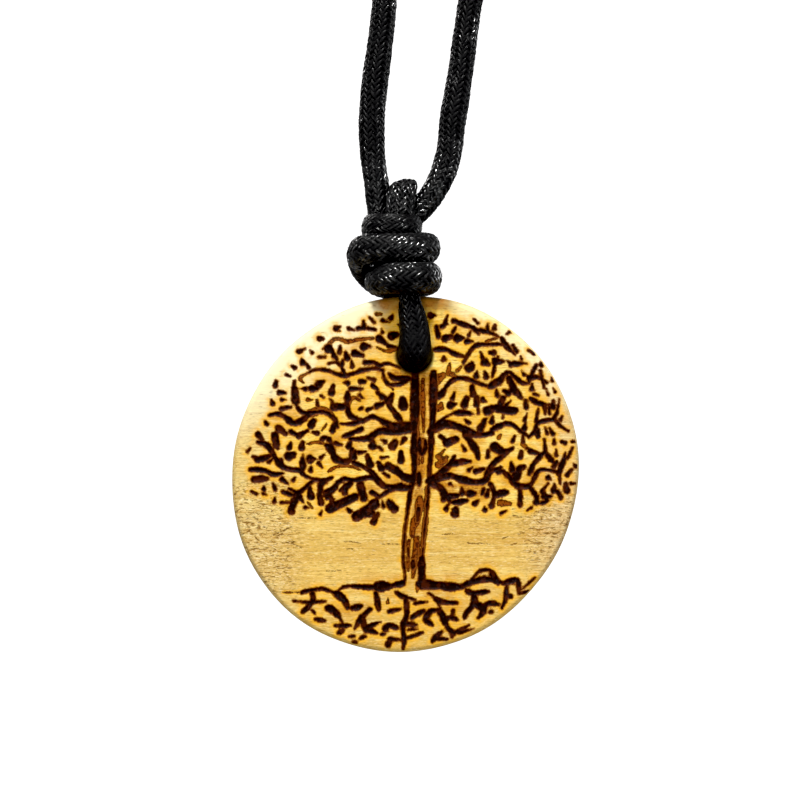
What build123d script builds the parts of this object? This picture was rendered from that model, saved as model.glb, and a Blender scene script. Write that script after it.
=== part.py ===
"""Tree of life pendant: a burned slice of pale wood on a tied, braided black cord.

Millimetres. +Z up, +X to the right seen from the front, front facing -Y.
The origin is at the nape, on the inner side of the clasp, where the loop hangs.
"""
from build123d import *
from math import cos, hypot, pi, radians, sin, tan
import os

os.makedirs("parts", exist_ok=True)

# the wooden slice, sawn a little oval out of a board, so that its grain runs level
DISC_LONG = 47.0  # across the long way of the oval
DISC_SHORT = 44.8  # across the short way
DISC_LEAN = 26.0  # degrees that the long way leans right of upright
DISC_T = 4.5
RIM_ROUND = 1.9  # the sanded rim
HOLE_D = 4.4
HOLE_BELOW_RIM = 7.8  # from the top of the rim to the hole's centre
HOLE_ROUND = 0.9  # the hole's worn edges
DISC_X = 0.0  # where the slice hangs, across
HOLE_X = 0.4

# the braided cord, and how thin it is pulled inside the knot
CORD_D = 3.0
LOOP_D = 2.6
CLEAR = 0.1  # between cords, and between the loop and the wood

# the knot: its height under the nape, and its three turns of cord
KNOT_DROP = 154.4  # from the nape down to the top of the collar
WRAP_TILT = 7.0  # degrees that the two big turns rise to the right
COLLAR_TILT = 5.0
WRAP_GAP = 0.12
SEAT = 0.15  # between the lowest turn and the wood's rim
LOWER_WALL = 3.0
LOWER_H = 3.7
UPPER_WALL = 3.3
UPPER_H = 3.8
COLLAR_WALL = 1.2
COLLAR_H = 2.4

# how far the two legs of the loop stand from the knot's middle in each turn, across and in depth
LOWER_MIDDLE_X = -1.55
LOWER_ACROSS = 0.7
LOWER_DEEP = 2.0
UPPER_MIDDLE_X = -2.95
UPPER_ACROSS = 1.5
UPPER_DEEP = 0.9
COLLAR_MIDDLE_X = -3.35
COLLAR_ACROSS = 1.4
LEG_IN_COLLAR = 1.7  # the straight end of each leg, up to where its strand begins
RIM_BEND = 1.0  # how far under the rim's top each leg starts to lean inwards
RIM_SWAY = 0.2  # how far right of their place in the lowest turn the legs cross the rim
TURN_ROUND = 0.47  # how round a flattened cord's edges are, as a share of its thinner side

# the bight: a flattened cord that stands up out of the collar, between the strands
BIGHT_X = -2.35
BIGHT_W = 3.3
BIGHT_T = 1.9
BIGHT_RISE = 4.8  # from the collar's top to the bight's top
BIGHT_TUCK = 1.9  # how deep its feet go into the collar

# the clasp at the nape
CLASP_L = 15.0
CLASP_D = 5.6
CLASP_SOCKET = 4.5
CLASP_FIT = 0.1  # round the cord in its socket
CLASP_GROOVE = 0.35
CLASP_EDGE = 0.6

# what follows from these
CLASP_Z = CLASP_D / 2
CORD_END_X = CLASP_L / 2 - CLASP_SOCKET + CLEAR
COLLAR_TOP = -KNOT_DROP
COLLAR_Z = COLLAR_TOP - COLLAR_H / 2
UPPER_Z = COLLAR_Z - COLLAR_H / 2 - WRAP_GAP - UPPER_H / 2
LOWER_Z = UPPER_Z - UPPER_H / 2 - WRAP_GAP - LOWER_H / 2
RIM_TOP = LOWER_Z - LOWER_H / 2 - SEAT
DISC_HALF_HEIGHT = hypot(DISC_LONG * cos(radians(DISC_LEAN)), DISC_SHORT * sin(radians(DISC_LEAN))) / 2
DISC_Z = RIM_TOP - DISC_HALF_HEIGHT
HOLE_Z = RIM_TOP - HOLE_BELOW_RIM


def corner_radii(points):
    """The largest arc that the two runs at each inner point allow."""
    corners = [Vector(*point) for point in points]
    radii = []
    for before, here, after in zip(corners, corners[1:], corners[2:]):
        turn = radians((here - before).get_angle(after - here))
        shorter = min((here - before).length, (after - here).length)
        radii.append(0.45 * shorter / tan(turn / 2))
    return radii


def cord_tube(points, radii, diameter):
    """A round cord along straight runs joined by tangent arcs."""
    with BuildPart() as tube:
        with BuildLine() as route:
            FilletPolyline(*points, radius=radii)
        path = route.wires()[0]
        with BuildSketch(Plane(origin=path @ 0, z_dir=path % 0)):
            Circle(diameter / 2)
        sweep(path=path)
    return tube


def turn_of_cord(middle_x, middle_z, lean, open_across, open_deep, corner, wall, height):
    """One flattened turn of cord round the knot's core, rising to the right by its lean in degrees."""
    tilt = radians(lean)
    across = Vector(cos(tilt), 0, sin(tilt))
    up = Vector(-sin(tilt), 0, cos(tilt))
    base = Vector(middle_x, 0, middle_z) - up * (height / 2)
    with BuildPart() as turn:
        with BuildSketch(Plane(origin=base, x_dir=across, z_dir=up)):
            RectangleRounded(open_across + 2 * wall, open_deep + 2 * wall, corner + wall)
            RectangleRounded(open_across, open_deep, corner, mode=Mode.SUBTRACT)
        extrude(amount=height)
        level = turn.edges() - turn.edges().filter_by(Axis(base, up))
        fillet(level, TURN_ROUND * min(wall, height))
        for tunnel in tunnels:
            add(tunnel.part, mode=Mode.SUBTRACT)
    return turn


# the wooden slice
with BuildPart() as wood_disc:
    with BuildSketch(Plane.XZ.offset(-DISC_T / 2)):
        with Locations((DISC_X, DISC_Z)):
            Ellipse(DISC_LONG / 2, DISC_SHORT / 2, rotation=90 - DISC_LEAN)
        with Locations((HOLE_X, HOLE_Z)):
            Circle(HOLE_D / 2, mode=Mode.SUBTRACT)
    extrude(amount=DISC_T)
    hole_edges = wood_disc.edges().filter_by(GeomType.CIRCLE)
    rim_edges = wood_disc.faces().filter_by(Axis.Y).edges() - hole_edges
    fillet(rim_edges, RIM_ROUND)
    fillet(wood_disc.edges().filter_by(GeomType.CIRCLE), HOLE_ROUND)
wood_disc.part.label = "wood_disc"

# the two strands, from the collar to the clasp: the points of each route
LEFT_POINTS = [
    (-4.95, 0, -154.6), (-5.3, 0, -152.7), (-5.65, 0, -150.2), (-6.35, 0, -146.6), (-6.7, 0, -142.0),
    (-6.6, 0, -137.0), (-6.2, 0, -130.5), (-6.0, 0, -123.0), (-8.2, 0, -112.5), (-17.0, 0, -98.5),
    (-34.0, 0, -83.0), (-53.0, 0, -66.5), (-66.0, 0, -45.5), (-66.5, 0, -22.5), (-52.0, 0, -5.5),
    (-30.0, 0, 1.6), (-13.0, 0, CLASP_Z), (-CORD_END_X, 0, CLASP_Z),
]
RIGHT_POINTS = [
    (-1.4, 0, -154.6), (-0.65, 0, -152.95), (0.95, 0, -151.9), (2.2, 0, -150.05), (3.1, 0, -147.85),
    (3.55, 0, -145.3), (3.7, 0, -141.7), (4.1, 0, -137.0), (4.5, 0, -131.5), (5.2, 0, -124.5),
    (7.6, 0, -114.5), (15.5, 0, -100.0), (32.0, 0, -83.5), (51.5, 0, -67.0), (65.0, 0, -46.5),
    (67.0, 0, -23.5), (53.0, 0, -6.0), (30.5, 0, 1.5), (13.0, 0, CLASP_Z), (CORD_END_X, 0, CLASP_Z),
]

cord_left = cord_tube(LEFT_POINTS, corner_radii(LEFT_POINTS), CORD_D)
cord_left.part.label = "cord_left"

cord_right = cord_tube(RIGHT_POINTS, corner_radii(RIGHT_POINTS), CORD_D)
cord_right.part.label = "cord_right"

# the loop: each leg leads on from its strand, down inside the knot, over the rim and into the hole
LEG_OFF_FACE = DISC_T / 2 + CLEAR + LOOP_D / 2
LOOP_IN_HOLE = HOLE_Z + HOLE_D / 2 - CLEAR - LOOP_D / 2
HOLE_BEND = HOLE_ROUND + CLEAR + LOOP_D / 2


def leg_points(strand, side):
    """One leg of the loop, from its strand's start down to the hole; side is 1 for the right, front leg."""
    start = Vector(*strand[0])
    along = (Vector(*strand[1]) - start).normalized()
    return [
        start - along * CLEAR,
        start - along * LEG_IN_COLLAR,
        (UPPER_MIDDLE_X + side * UPPER_ACROSS, -side * UPPER_DEEP, UPPER_Z),
        (LOWER_MIDDLE_X + side * LOWER_ACROSS, -side * LOWER_DEEP, LOWER_Z),
        (LOWER_MIDDLE_X + side * LOWER_ACROSS + RIM_SWAY, -side * LEG_OFF_FACE, RIM_TOP - RIM_BEND),
        (HOLE_X, -side * LEG_OFF_FACE, LOOP_IN_HOLE),
    ]


loop_points = leg_points(RIGHT_POINTS, 1) + leg_points(LEFT_POINTS, -1)[::-1]
loop_radii = corner_radii(loop_points)
loop_radii[4:6] = [HOLE_BEND, HOLE_BEND]
hanging_loop = cord_tube(loop_points, loop_radii, LOOP_D)
hanging_loop.part.label = "hanging_loop"

# the room that the cords take in the turns round them
tunnels = [
    cord_tube(loop_points, loop_radii, LOOP_D + 2 * CLEAR),
    cord_tube(LEFT_POINTS[:4], corner_radii(LEFT_POINTS[:4]), CORD_D + 2 * CLEAR),
    cord_tube(RIGHT_POINTS[:4], corner_radii(RIGHT_POINTS[:4]), CORD_D + 2 * CLEAR),
]

# the three turns of the knot: two round both legs, and the collar round the legs and the bight
LEG_ROOM = LOOP_D / 2 + CLEAR
lower_wrap = turn_of_cord(
    LOWER_MIDDLE_X, LOWER_Z, WRAP_TILT,
    2 * (LOWER_ACROSS + LEG_ROOM), 2 * (LOWER_DEEP + LEG_ROOM), LEG_ROOM, LOWER_WALL, LOWER_H,
)
lower_wrap.part.label = "lower_wrap"

upper_wrap = turn_of_cord(
    UPPER_MIDDLE_X, UPPER_Z, WRAP_TILT,
    2 * (UPPER_ACROSS + LEG_ROOM), 2 * (UPPER_DEEP + LEG_ROOM), LEG_ROOM, UPPER_WALL, UPPER_H,
)
upper_wrap.part.label = "upper_wrap"

BIGHT_REACH = CORD_D / 2 + CLEAR + BIGHT_T / 2  # from the strands' middle to the bight's
BIGHT_ROOM = BIGHT_T / 2 + CLEAR
COLLAR_HALF = max(COLLAR_ACROSS + LEG_ROOM, abs(BIGHT_X - COLLAR_MIDDLE_X) + BIGHT_W / 2 + CLEAR)
collar_wrap = turn_of_cord(
    COLLAR_MIDDLE_X, COLLAR_Z, COLLAR_TILT,
    2 * COLLAR_HALF, 2 * (BIGHT_REACH + BIGHT_ROOM), BIGHT_ROOM, COLLAR_WALL, COLLAR_H,
)
collar_wrap.part.label = "collar_wrap"

# the bight: up through the collar in front of the strands, over, and down behind them
BIGHT_FOOT = COLLAR_TOP - BIGHT_TUCK
BIGHT_SHOULDER = COLLAR_TOP + BIGHT_RISE - BIGHT_T / 2 - BIGHT_REACH
BIGHT_OUTER = BIGHT_REACH + BIGHT_T / 2
BIGHT_INNER = BIGHT_REACH - BIGHT_T / 2
with BuildPart() as top_bight:
    with BuildSketch(Plane.YZ.offset(BIGHT_X - BIGHT_W / 2)):
        with BuildLine():
            for side in (-1, 1):
                Line((side * BIGHT_OUTER, BIGHT_SHOULDER), (side * BIGHT_OUTER, BIGHT_FOOT))
                Line((side * BIGHT_OUTER, BIGHT_FOOT), (side * BIGHT_INNER, BIGHT_FOOT))
                Line((side * BIGHT_INNER, BIGHT_FOOT), (side * BIGHT_INNER, BIGHT_SHOULDER))
            CenterArc((0, BIGHT_SHOULDER), BIGHT_OUTER, 0, 180)
            CenterArc((0, BIGHT_SHOULDER), BIGHT_INNER, 0, 180)
        make_face()
    extrude(amount=BIGHT_W)
    fillet(top_bight.faces().filter_by(Axis.X).edges(), TURN_ROUND * BIGHT_T)
top_bight.part.label = "top_bight"

# the clasp: a turned barrel, grooved round its middle, with a blind socket in each end
with BuildPart() as clasp:
    with BuildSketch(Plane.YZ.offset(-CLASP_L / 2)):
        with Locations((0, CLASP_Z)):
            Circle(CLASP_D / 2)
    extrude(amount=CLASP_L)
    fillet(clasp.edges().filter_by(GeomType.CIRCLE), CLASP_EDGE)
    for side in (-1, 1):
        with BuildSketch(Plane.YZ.offset(side * CLASP_L / 2)):
            with Locations((0, CLASP_Z)):
                Circle(CORD_D / 2 + CLASP_FIT)
        extrude(amount=-side * CLASP_SOCKET, mode=Mode.SUBTRACT)
    with BuildSketch(Plane.XZ):
        with Locations((0, CLASP_Z + CLASP_D / 2)):
            Circle(CLASP_GROOVE)
    revolve(axis=Axis((0, 0, CLASP_Z), (1, 0, 0)), mode=Mode.SUBTRACT)
clasp.part.label = "clasp"

cords = (
    ("hanging_loop", hanging_loop, loop_points, loop_radii, LOOP_D),
    ("cord_left", cord_left, LEFT_POINTS, corner_radii(LEFT_POINTS), CORD_D),
    ("cord_right", cord_right, RIGHT_POINTS, corner_radii(RIGHT_POINTS), CORD_D),
)
for name, cord, points, radii, diameter in cords:
    length = FilletPolyline(*points, radius=radii).length
    expected = pi * diameter**2 / 4 * length
    print(f"{name}: {length:.1f} mm, volume {cord.part.volume:.1f} of {expected:.1f} mm3")
    print("  arcs", [round(radius, 1) for radius in radii])

export_step(wood_disc.part, "parts/wood_disc.step")
export_step(hanging_loop.part, "parts/hanging_loop.step")
export_step(lower_wrap.part, "parts/lower_wrap.step")
export_step(upper_wrap.part, "parts/upper_wrap.step")
export_step(collar_wrap.part, "parts/collar_wrap.step")
export_step(top_bight.part, "parts/top_bight.step")
export_step(cord_left.part, "parts/cord_left.step")
export_step(cord_right.part, "parts/cord_right.step")
export_step(clasp.part, "parts/clasp.step")
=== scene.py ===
import math
import random

import bmesh
import bpy
import numpy as np
from mathutils import Matrix, Vector


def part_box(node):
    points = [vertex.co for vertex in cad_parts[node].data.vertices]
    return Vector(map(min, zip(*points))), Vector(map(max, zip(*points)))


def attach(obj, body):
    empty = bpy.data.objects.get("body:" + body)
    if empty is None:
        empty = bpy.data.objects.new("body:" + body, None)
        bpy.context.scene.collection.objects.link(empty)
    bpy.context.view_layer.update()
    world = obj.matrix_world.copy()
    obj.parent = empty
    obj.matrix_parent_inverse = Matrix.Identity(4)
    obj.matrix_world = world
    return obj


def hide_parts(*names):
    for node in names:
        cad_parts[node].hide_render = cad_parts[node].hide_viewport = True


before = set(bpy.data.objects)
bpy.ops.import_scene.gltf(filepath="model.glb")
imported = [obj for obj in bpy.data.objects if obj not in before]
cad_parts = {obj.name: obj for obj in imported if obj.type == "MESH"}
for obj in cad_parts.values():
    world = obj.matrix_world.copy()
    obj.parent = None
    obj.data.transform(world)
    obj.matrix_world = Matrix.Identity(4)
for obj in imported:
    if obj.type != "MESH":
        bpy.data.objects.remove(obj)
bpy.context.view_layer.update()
bpy.ops.object.select_all(action="DESELECT")

# The slice: pale, fine-grained wood, a little oval, sanded round at the rim and drilled near its top.
# A tree with its roots is burned into the front with a hot pen, which leaves dark grooves with
# red-brown edges and a scorched glow where the pen stayed longest.
MM = 0.001
DISC_LONG = 47.0
DISC_SHORT = 44.8
DISC_LEAN = 26.0  # degrees that the long way leans right of upright
RIM_ROUND = 1.6  # how deep the rim's rounding goes
RIM_REACH = 0.75  # and how far in
RIM_WAVER = 0.05  # how far the outline wavers in a few long waves
RIM_RIPPLE = 0.03  # and in many short ones
HOLE_R = 2.2
HOLE_BELOW_RIM = 7.8
HOLE_ROUND = 0.45
HOLE_EDGE = HOLE_R + HOLE_ROUND
HOLE_X = 0.4
HOLE_SIDES = 96
FACE_CELLS = 276  # across the front, which holds the burned grooves
BACK_CELLS = 69
GROOVE = 0.2  # how deep the pen burns
GROOVE_OUT = 0.04  # how far outside a stroke's edge its groove begins
GROOVE_WALL = 0.24  # and how far in from there it is at its deepest
BROWN_OUT = 0.03  # the same for the brown marks
BROWN_WALL = 0.2
BROWN_DEPTH = 0.4  # a brown mark's depth, as a share of a black one's
LIP = 0.02  # how high the edge is that stands up along a groove
LIP_OUT = 0.07  # how far outside the stroke's edge it stands
LIP_WIDE = 0.05
SWELL = 0.03  # how far the sanded face rises and falls
MARKS_END = 0.3  # how far behind the front the marks start to fade round the rim
MARKS_FADE = 0.5  # and in what depth they are gone
LEVEL_RIM = 1.2  # how wide the rim is that stays without relief
LEVEL_FADE = 1.5
HOLE_FADE = 0.6
TINY = 1e-9  # stands in for nothing where a value is divided by it
SQUARE = 0.131  # one square of the chart below
CHART_LEAN = 3.0  # degrees that the chart is turned to stand on the slice

disc_low, disc_high = (np.array(corner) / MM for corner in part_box("wood_disc"))
disc_middle = (disc_low + disc_high) / 2
HALF_T = (disc_high[1] - disc_low[1]) / 2
hole_middle = np.array([HOLE_X, 0.0, disc_high[2] - HOLE_BELOW_RIM])

# The tree, charted in squares from the slice's middle: each stroke is its half width, and then
# its points.
TRUNK = [
    (4.4, (10, 101), (9.8, 70), (9.6, 44)), (2.9, (9.6, 50), (9, 25), (9, 2), (7.5, -12)),
    (1.9, (8, -8), (4.5, -22), (1.2, -46)),
    (1.3, (1.6, -40), (-0.8, -64), (-1.9, -84), (0.2, -100), (0, -107)),
    (3.6, (28.5, 101), (28, 75), (27, 44)), (2.6, (26.8, 50), (24.8, 12), (23.6, -5)),
    (1.5, (23.6, -4), (22.8, -22), (20.6, -46)), (1.0, (20.6, -42), (18.2, -68), (17, -88)),
    (3.4, (16.6, -84), (16.2, -102)), (4.2, (16.2, -98), (17, -112)),
    (2.1, (14.6, 35), (14, 26), (17, 19.5), (20.4, 26), (20, 34)), (2.4, (14, 1), (14, -11)),
    (2.2, (13.2, -34), (12.4, -46)), (1.4, (3, -73), (3.6, -84)), (2.3, (8, -86), (7.6, -94)),
]
LEFT_BOUGHS = [
    (2.0, (5, 95), (-5, 90), (-15, 89), (-20, 94), (-22, 101)), (2.6, (4, 96), (-9, 95), (-16, 100)),
    (1.9, (-22, 103), (-31, 105), (-43, 103), (-51, 100), (-61, 98), (-68, 100), (-77, 103), (-88, 104),
        (-96, 101)), (1.6, (-60, 100), (-63, 106), (-68, 111), (-76, 110)), (1.9, (-63, 106), (-62, 113)),
    (2.0, (-40, 111), (-31, 111), (-25, 108), (-17, 110), (-5, 106)),
    (3.7, (7, 48), (-5, 48), (-15, 49), (-24, 54)),
    (2.1, (-22, 53), (-32, 57), (-42, 53), (-53, 50), (-64, 50)),
    (2.6, (-42, 53), (-54, 58), (-57, 66), (-58, 78)), (2.6, (-4, 53), (-11, 62), (-16, 70), (-14, 78)),
    (2.1, (-16, 70), (-21, 77), (-28, 81)),
    (2.0, (-67, 47), (-69, 54), (-76, 60), (-84, 62), (-93, 61), (-100, 61), (-106, 65), (-110, 74),
        (-110, 80)), (2.8, (-96, 59), (-103, 53), (-111, 51), (-118, 56), (-126, 60), (-134, 59)),
    (3.3, (6, 44), (-5, 43), (-17, 43), (-27, 42), (-34, 37), (-42, 35), (-54, 35)),
    (2.5, (-43, 45), (-52, 41), (-62, 37)), (3.0, (-35, 36), (-31, 30)),
    (3.2, (-78, 29), (-73, 24), (-69, 16), (-61, 12.5), (-54, 15), (-53, 25)),
    (3.7, (7, -5), (-2, -2), (-8, 3), (-15, 6)),
    (2.9, (6, -13), (-5, -13), (-20, -12), (-28, -5), (-33, 2), (-42, 8), (-52, 12)),
    (2.3, (-28, -5), (-36, -3), (-50, -6), (-62, -5), (-74, -16)), (3.0, (-54, -9), (-64, -16)),
    (2.6, (-146, 32), (-139, 30), (-133, 24), (-128, 15), (-122, 8), (-113, 5), (-105, 4), (-100, -1),
        (-91, -5)), (2.1, (-92, -5), (-81, -6), (-72, -3)),
    (2.0, (-91, -6), (-99, -13), (-106, -18), (-115, -14)),
    (2.4, (-153, 5), (-140, 4), (-130, 0), (-121, 1)), (2.0, (-151, 18), (-142, 14), (-133, 18)),
    (2.2, (-131, 40), (-129, 32), (-126, 25)), (2.2, (-127, 47), (-119, 41)), (2.6, (-102, 5), (-102, 16)),
    (2.3, (-4, -10), (-17, -17), (-28, -24)), (3.1, (-29, -27), (-39, -34), (-49, -41)),
    (3.2, (-55, -24), (-65, -30), (-76, -36)), (3.2, (-107, -20), (-113, -35)),
    (2.2, (-120, -18), (-108, -22)), (2.8, (-84, -8), (-84, -20)), (2.8, (-43, -10), (-40, -24)),
    (2.6, (-74, -22), (-71, -31)), (3.0, (-16, -27), (-14, -34)), (2.4, (-34, -36), (-30, -43)),
    (3.0, (-149, -5), (-137, -4)),
]
RIGHT_BOUGHS = [
    (2.4, (30, 124), (40, 124), (50, 119.5), (60, 116)),
    (2.0, (58, 111), (64, 121), (71, 128), (83, 129), (100, 129)), (3.6, (64, 108), (67, 106)),
    (2.4, (50, 152), (60, 148), (68, 145), (73, 139)), (2.0, (74, 143), (83, 141), (92, 137)),
    (1.7, (82, 141), (82, 149)), (2.2, (96, 135), (100, 128), (109, 119)),
    (3.2, (28, 78), (35, 79), (40, 85)),
    (1.9, (39, 84), (44, 91), (51, 95), (60, 95), (69, 92), (77, 89), (86, 87)),
    (3.4, (84, 87), (91, 91), (97, 96)), (2.2, (96, 97), (103, 101), (109, 97), (116, 91), (123, 90)),
    (1.4, (87, 97), (89, 108), (92, 117)), (3.0, (103, 96), (107, 87), (114, 79)),
    (1.9, (123, 92), (127, 102), (130, 109)), (2.2, (126, 96), (133, 96), (141, 91)),
    (1.6, (134, 103), (138, 86)),
    (3.6, (25, 42), (32, 46), (40, 50), (50, 48), (58, 45), (68, 40), (77, 39), (86, 41)),
    (4.0, (61, 42), (64, 34)), (3.2, (64, 34), (70, 25), (73, 16)),
    (2.6, (86, 44), (94, 48), (102, 50.5), (110, 47)), (1.5, (109, 48), (116, 42), (124, 37)),
    (1.4, (30, 49), (41, 57), (49, 61)), (2.4, (49, 61), (58, 61), (67, 60)),
    (2.4, (73, 43), (76, 49), (80, 55)), (3.4, (92, 64), (101, 63), (109, 62)),
    (2.0, (123, 37), (129, 43), (131, 50), (138, 53), (148, 54), (154, 48), (162, 43)),
    (1.4, (147, 55), (151, 62), (153, 75)), (1.7, (130, 52), (132, 65)),
    (2.4, (125, 75), (131, 71), (138, 69), (139, 60)), (3.1, (132, 38), (130, 46)),
    (3.7, (23, -7), (35, -3), (46, -1)),
    (3.1, (45, -1), (56, -5), (68, -8), (79, -6), (83, 1), (90, 4.5), (98, 3)),
    (2.2, (97, 3), (104, -3), (108, -9), (116, -12.5), (125, -10), (129, -2), (133, 4), (142, 4.5),
        (152, 2)), (2.8, (32, -1), (43, 8), (49, 18)), (2.8, (45, 10), (54, 12), (64, 13)),
    (2.5, (80, 0), (87, 10), (98, 19), (107, 26)), (4.2, (110, -4), (113, 4)), (3.2, (112, 5), (118, 8)),
    (2.3, (123, 0), (127, 9), (134, 18), (139, 23), (138, 35)), (2.4, (140, 21), (148, 10)),
    (2.6, (152, 0), (156, 10), (159, 21)), (1.7, (160, 16), (166, 24)), (1.8, (153, 1), (154, -9)),
    (3.0, (24, -9), (33, -12), (39, -18), (45, -28)), (2.6, (43, -22), (52, -22)),
    (2.8, (48, -28), (61, -26)), (3.0, (50, -34), (50, -39)), (2.2, (84, -9), (88, -16), (87, -31)),
    (2.6, (105, -4), (111, -11), (124, -12)), (2.2, (124, -12), (129, -20), (132, -28)),
    (2.2, (114, -16), (115, -30)), (3.4, (93, -19), (101, -18)), (3.0, (66, -18), (67, -19)),
    (2.0, (78, -15), (76, -20)), (2.2, (136, -17), (141, -26), (134, -29)),
]
ROOTS = [
    (3.0, (-2, -108), (-14, -111)), (5.0, (-27, -111.5), (-14, -111)), (3.2, (-40, -112), (-28, -112)),
    (1.7, (-38, -112), (-53, -111), (-61, -112), (-67, -116)), (3.4, (-68, -118), (-61, -124), (-57, -132)),
    (1.8, (-102, -117), (-92, -114.5), (-82, -113.5), (-74, -116), (-67, -118)),
    (2.6, (-92, -118), (-92, -127), (-102, -137)), (1.5, (-110, -125.5), (-95, -127), (-79, -126)),
    (4.2, (-76, -133), (-71, -135)), (3.4, (-71, -135), (-66, -141)), (1.6, (-66, -140), (-61, -149)),
    (1.9, (-69, -150), (-54, -150)), (2.7, (-52, -133), (-43, -130.5)), (1.9, (-92, -135), (-89, -138.6)),
    (2.4, (-89, -143.5), (-80, -145)), (2.1, (-66, -157), (-61.5, -155)),
    (1.5, (-55, -160.6), (-50, -160.6)), (1.8, (-44, -162.4), (-39, -160.6)),
    (1.6, (-51, -166), (-48, -166.6)), (2.5, (-35, -134), (-42, -141), (-50, -153)),
    (3.1, (-29, -118), (-26, -134)), (2.9, (-43.5, -141), (-39, -156)),
    (2.0, (-36.5, -151), (-24.5, -146.5)), (2.3, (-37, -154.5), (-28, -157.5)),
    (1.8, (-23, -158.7), (-20, -158)), (3.0, (-19.5, -154), (-17, -150), (-8, -152)),
    (2.2, (-16, -136.3), (-4, -133.5)), (3.2, (-17, -169), (-15, -165.4)), (2.0, (-16, -163), (-4, -164.2)),
    (2.2, (-9, -117), (-2, -121), (10, -124.5)),
    (2.6, (1, -122), (1.5, -140), (-2, -150), (-1, -164), (-2, -173)),
    (4.3, (14, -108.6), (25, -109.7), (45, -111.5), (57, -112.3)),
    (2.8, (55, -112), (66, -107), (78, -104), (88, -105), (97.5, -108.4)), (3.3, (86, -100), (92.6, -108)),
    (1.4, (66, -104.5), (73, -96.5), (80.5, -94.5), (88, -97.5), (91.4, -103)),
    (2.4, (102, -120.6), (106, -120.6)), (2.6, (97.5, -108.4), (105, -106), (112, -105), (113, -118)),
    (1.4, (114.4, -118), (124, -115.7)), (1.3, (117, -113.3), (129, -102.4)),
    (2.3, (101, -111), (100, -123), (96, -132.7)), (1.8, (84, -136.3), (87, -136.3)),
    (2.6, (61, -115.7), (68.4, -118), (82.5, -116)),
    (2.9, (68.4, -120), (68.4, -128), (61, -137.5), (58.7, -142.4)),
    (3.2, (69.6, -129), (78, -134), (73, -142.4)), (2.5, (79, -130.3), (85, -127.8), (94, -129)),
    (2.0, (10, -128.4), (22, -126.6)), (2.6, (29.6, -123), (37, -126.6), (51.4, -127.8)),
    (1.4, (23.5, -118), (29.6, -123), (35.7, -134)), (1.8, (48, -135), (46.6, -140)),
    (2.4, (38, -144.8), (45, -142), (52.6, -144.8)), (2.8, (6.6, -142), (18.7, -135)),
    (2.6, (20, -143.6), (24.7, -136.3), (33, -135)),
    (3.0, (33, -135), (37, -140), (41.7, -151), (49, -158)), (2.6, (20, -144.8), (27, -149.7)),
    (2.6, (3, -148.4), (11.4, -149.7)), (1.1, (3, -154.5), (12.6, -153.3)),
    (2.2, (0.5, -163), (17.5, -157)), (2.6, (27, -165.4), (31, -160.6), (37, -155.7)),
    (2.0, (31, -163.6), (41.7, -163)), (2.0, (46.6, -161), (49, -157), (63.5, -149.7)),
    (1.8, (52.6, -157), (68.4, -153.3)),
]
BROWN_STROKES = [
    (1.7, (-31, 135), (-46, 134), (-58, 132), (-67, 135), (-76, 130), (-82, 124)),
    (1.6, (-7, 125), (-17, 122), (-28, 126)), (1.5, (-96, 101), (-104, 96), (-101, 91)),
    (1.4, (-95, 63), (-85, 66), (-76, 64), (-69, 57)), (1.4, (-97, 30), (-88, 32), (-79, 30)),
    (1.4, (-76, 3), (-67, 8), (-54, 8), (-43, 4)), (1.5, (-82, 44), (-78, 50)),
    (1.5, (-57, 66), (-52, 76), (-43, 72)), (2.0, (17.5, 94), (17.5, 72), (18.6, 42)),
    (1.5, (13.4, 88), (13, 50), (13.4, 10)), (2.4, (17.4, 34), (17.2, 12)),
    (3.7, (14.6, -24), (13, -39), (9, -49), (7, -60)),
    (2.6, (22, -14), (20.6, -42), (18, -68), (16.4, -90)),
    (2.6, (11.5, -64), (9.6, -78), (8.8, -92), (7.8, -102)),
    (2.0, (6, -16), (1.6, -42), (-0.8, -64), (-1.6, -86), (0.2, -104)),
    (1.8, (3.6, -66), (3, -80), (3.4, -96)), (1.6, (13, -62), (13.6, -84)), (2.4, (14, -106), (12, -116)),
    (0.8, (-121, -117), (-102, -117)), (2.0, (38, 100), (34, 92), (30, 88)),
    (1.8, (44, 108), (42, 100), (50, 98)), (1.8, (92, 136), (80, 132)), (2.6, (36, 70), (36, 66)),
    (2.2, (116, 30), (122, 26)), (3.2, (94, -28), (101, -29)), (1.8, (-22, 96), (-12, 84)),
    (2.2, (34, 18), (40, 14)), (2.2, (33, 9), (42, 14)), (1.8, (-96, -28), (-92, -33)),
    (1.5, (-118, -27), (-110, -29)),
]
# Short cracks along the grain, as thin as a hair.
CRACKS = [
    (0.5, (-107, -43), (-86, -43.5)), (0.6, (-131, -60), (-125, -58)), (0.6, (-121, -56), (-113, -52)),
    (0.5, (-62, -66), (-42, -68)), (0.4, (-58, -74), (-46, -74)), (0.4, (-24, -68.4), (-5, -69.6)),
    (0.5, (37, -60), (52, -58)), (0.4, (21, -67), (31, -67)), (0.4, (59, -68), (85, -69)),
    (0.4, (107, -40.6), (120, -43)), (0.7, (106, -34.5), (110, -34.5)), (0.5, (-124, -68), (-110, -67)),
    (0.5, (-113, -69), (-102, -73)), (0.5, (96, -64), (104, -61)), (0.5, (112, -60), (119, -57)),
    (0.5, (104, -70), (111, -68)), (0.5, (119, -66), (124, -65)), (0.6, (-140, -52), (-136, -53)),
    (0.6, (-151, -42), (-146, -45)), (0.5, (134, -60), (142, -58)), (0.4, (-78, -96), (-62, -95)),
]
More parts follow.
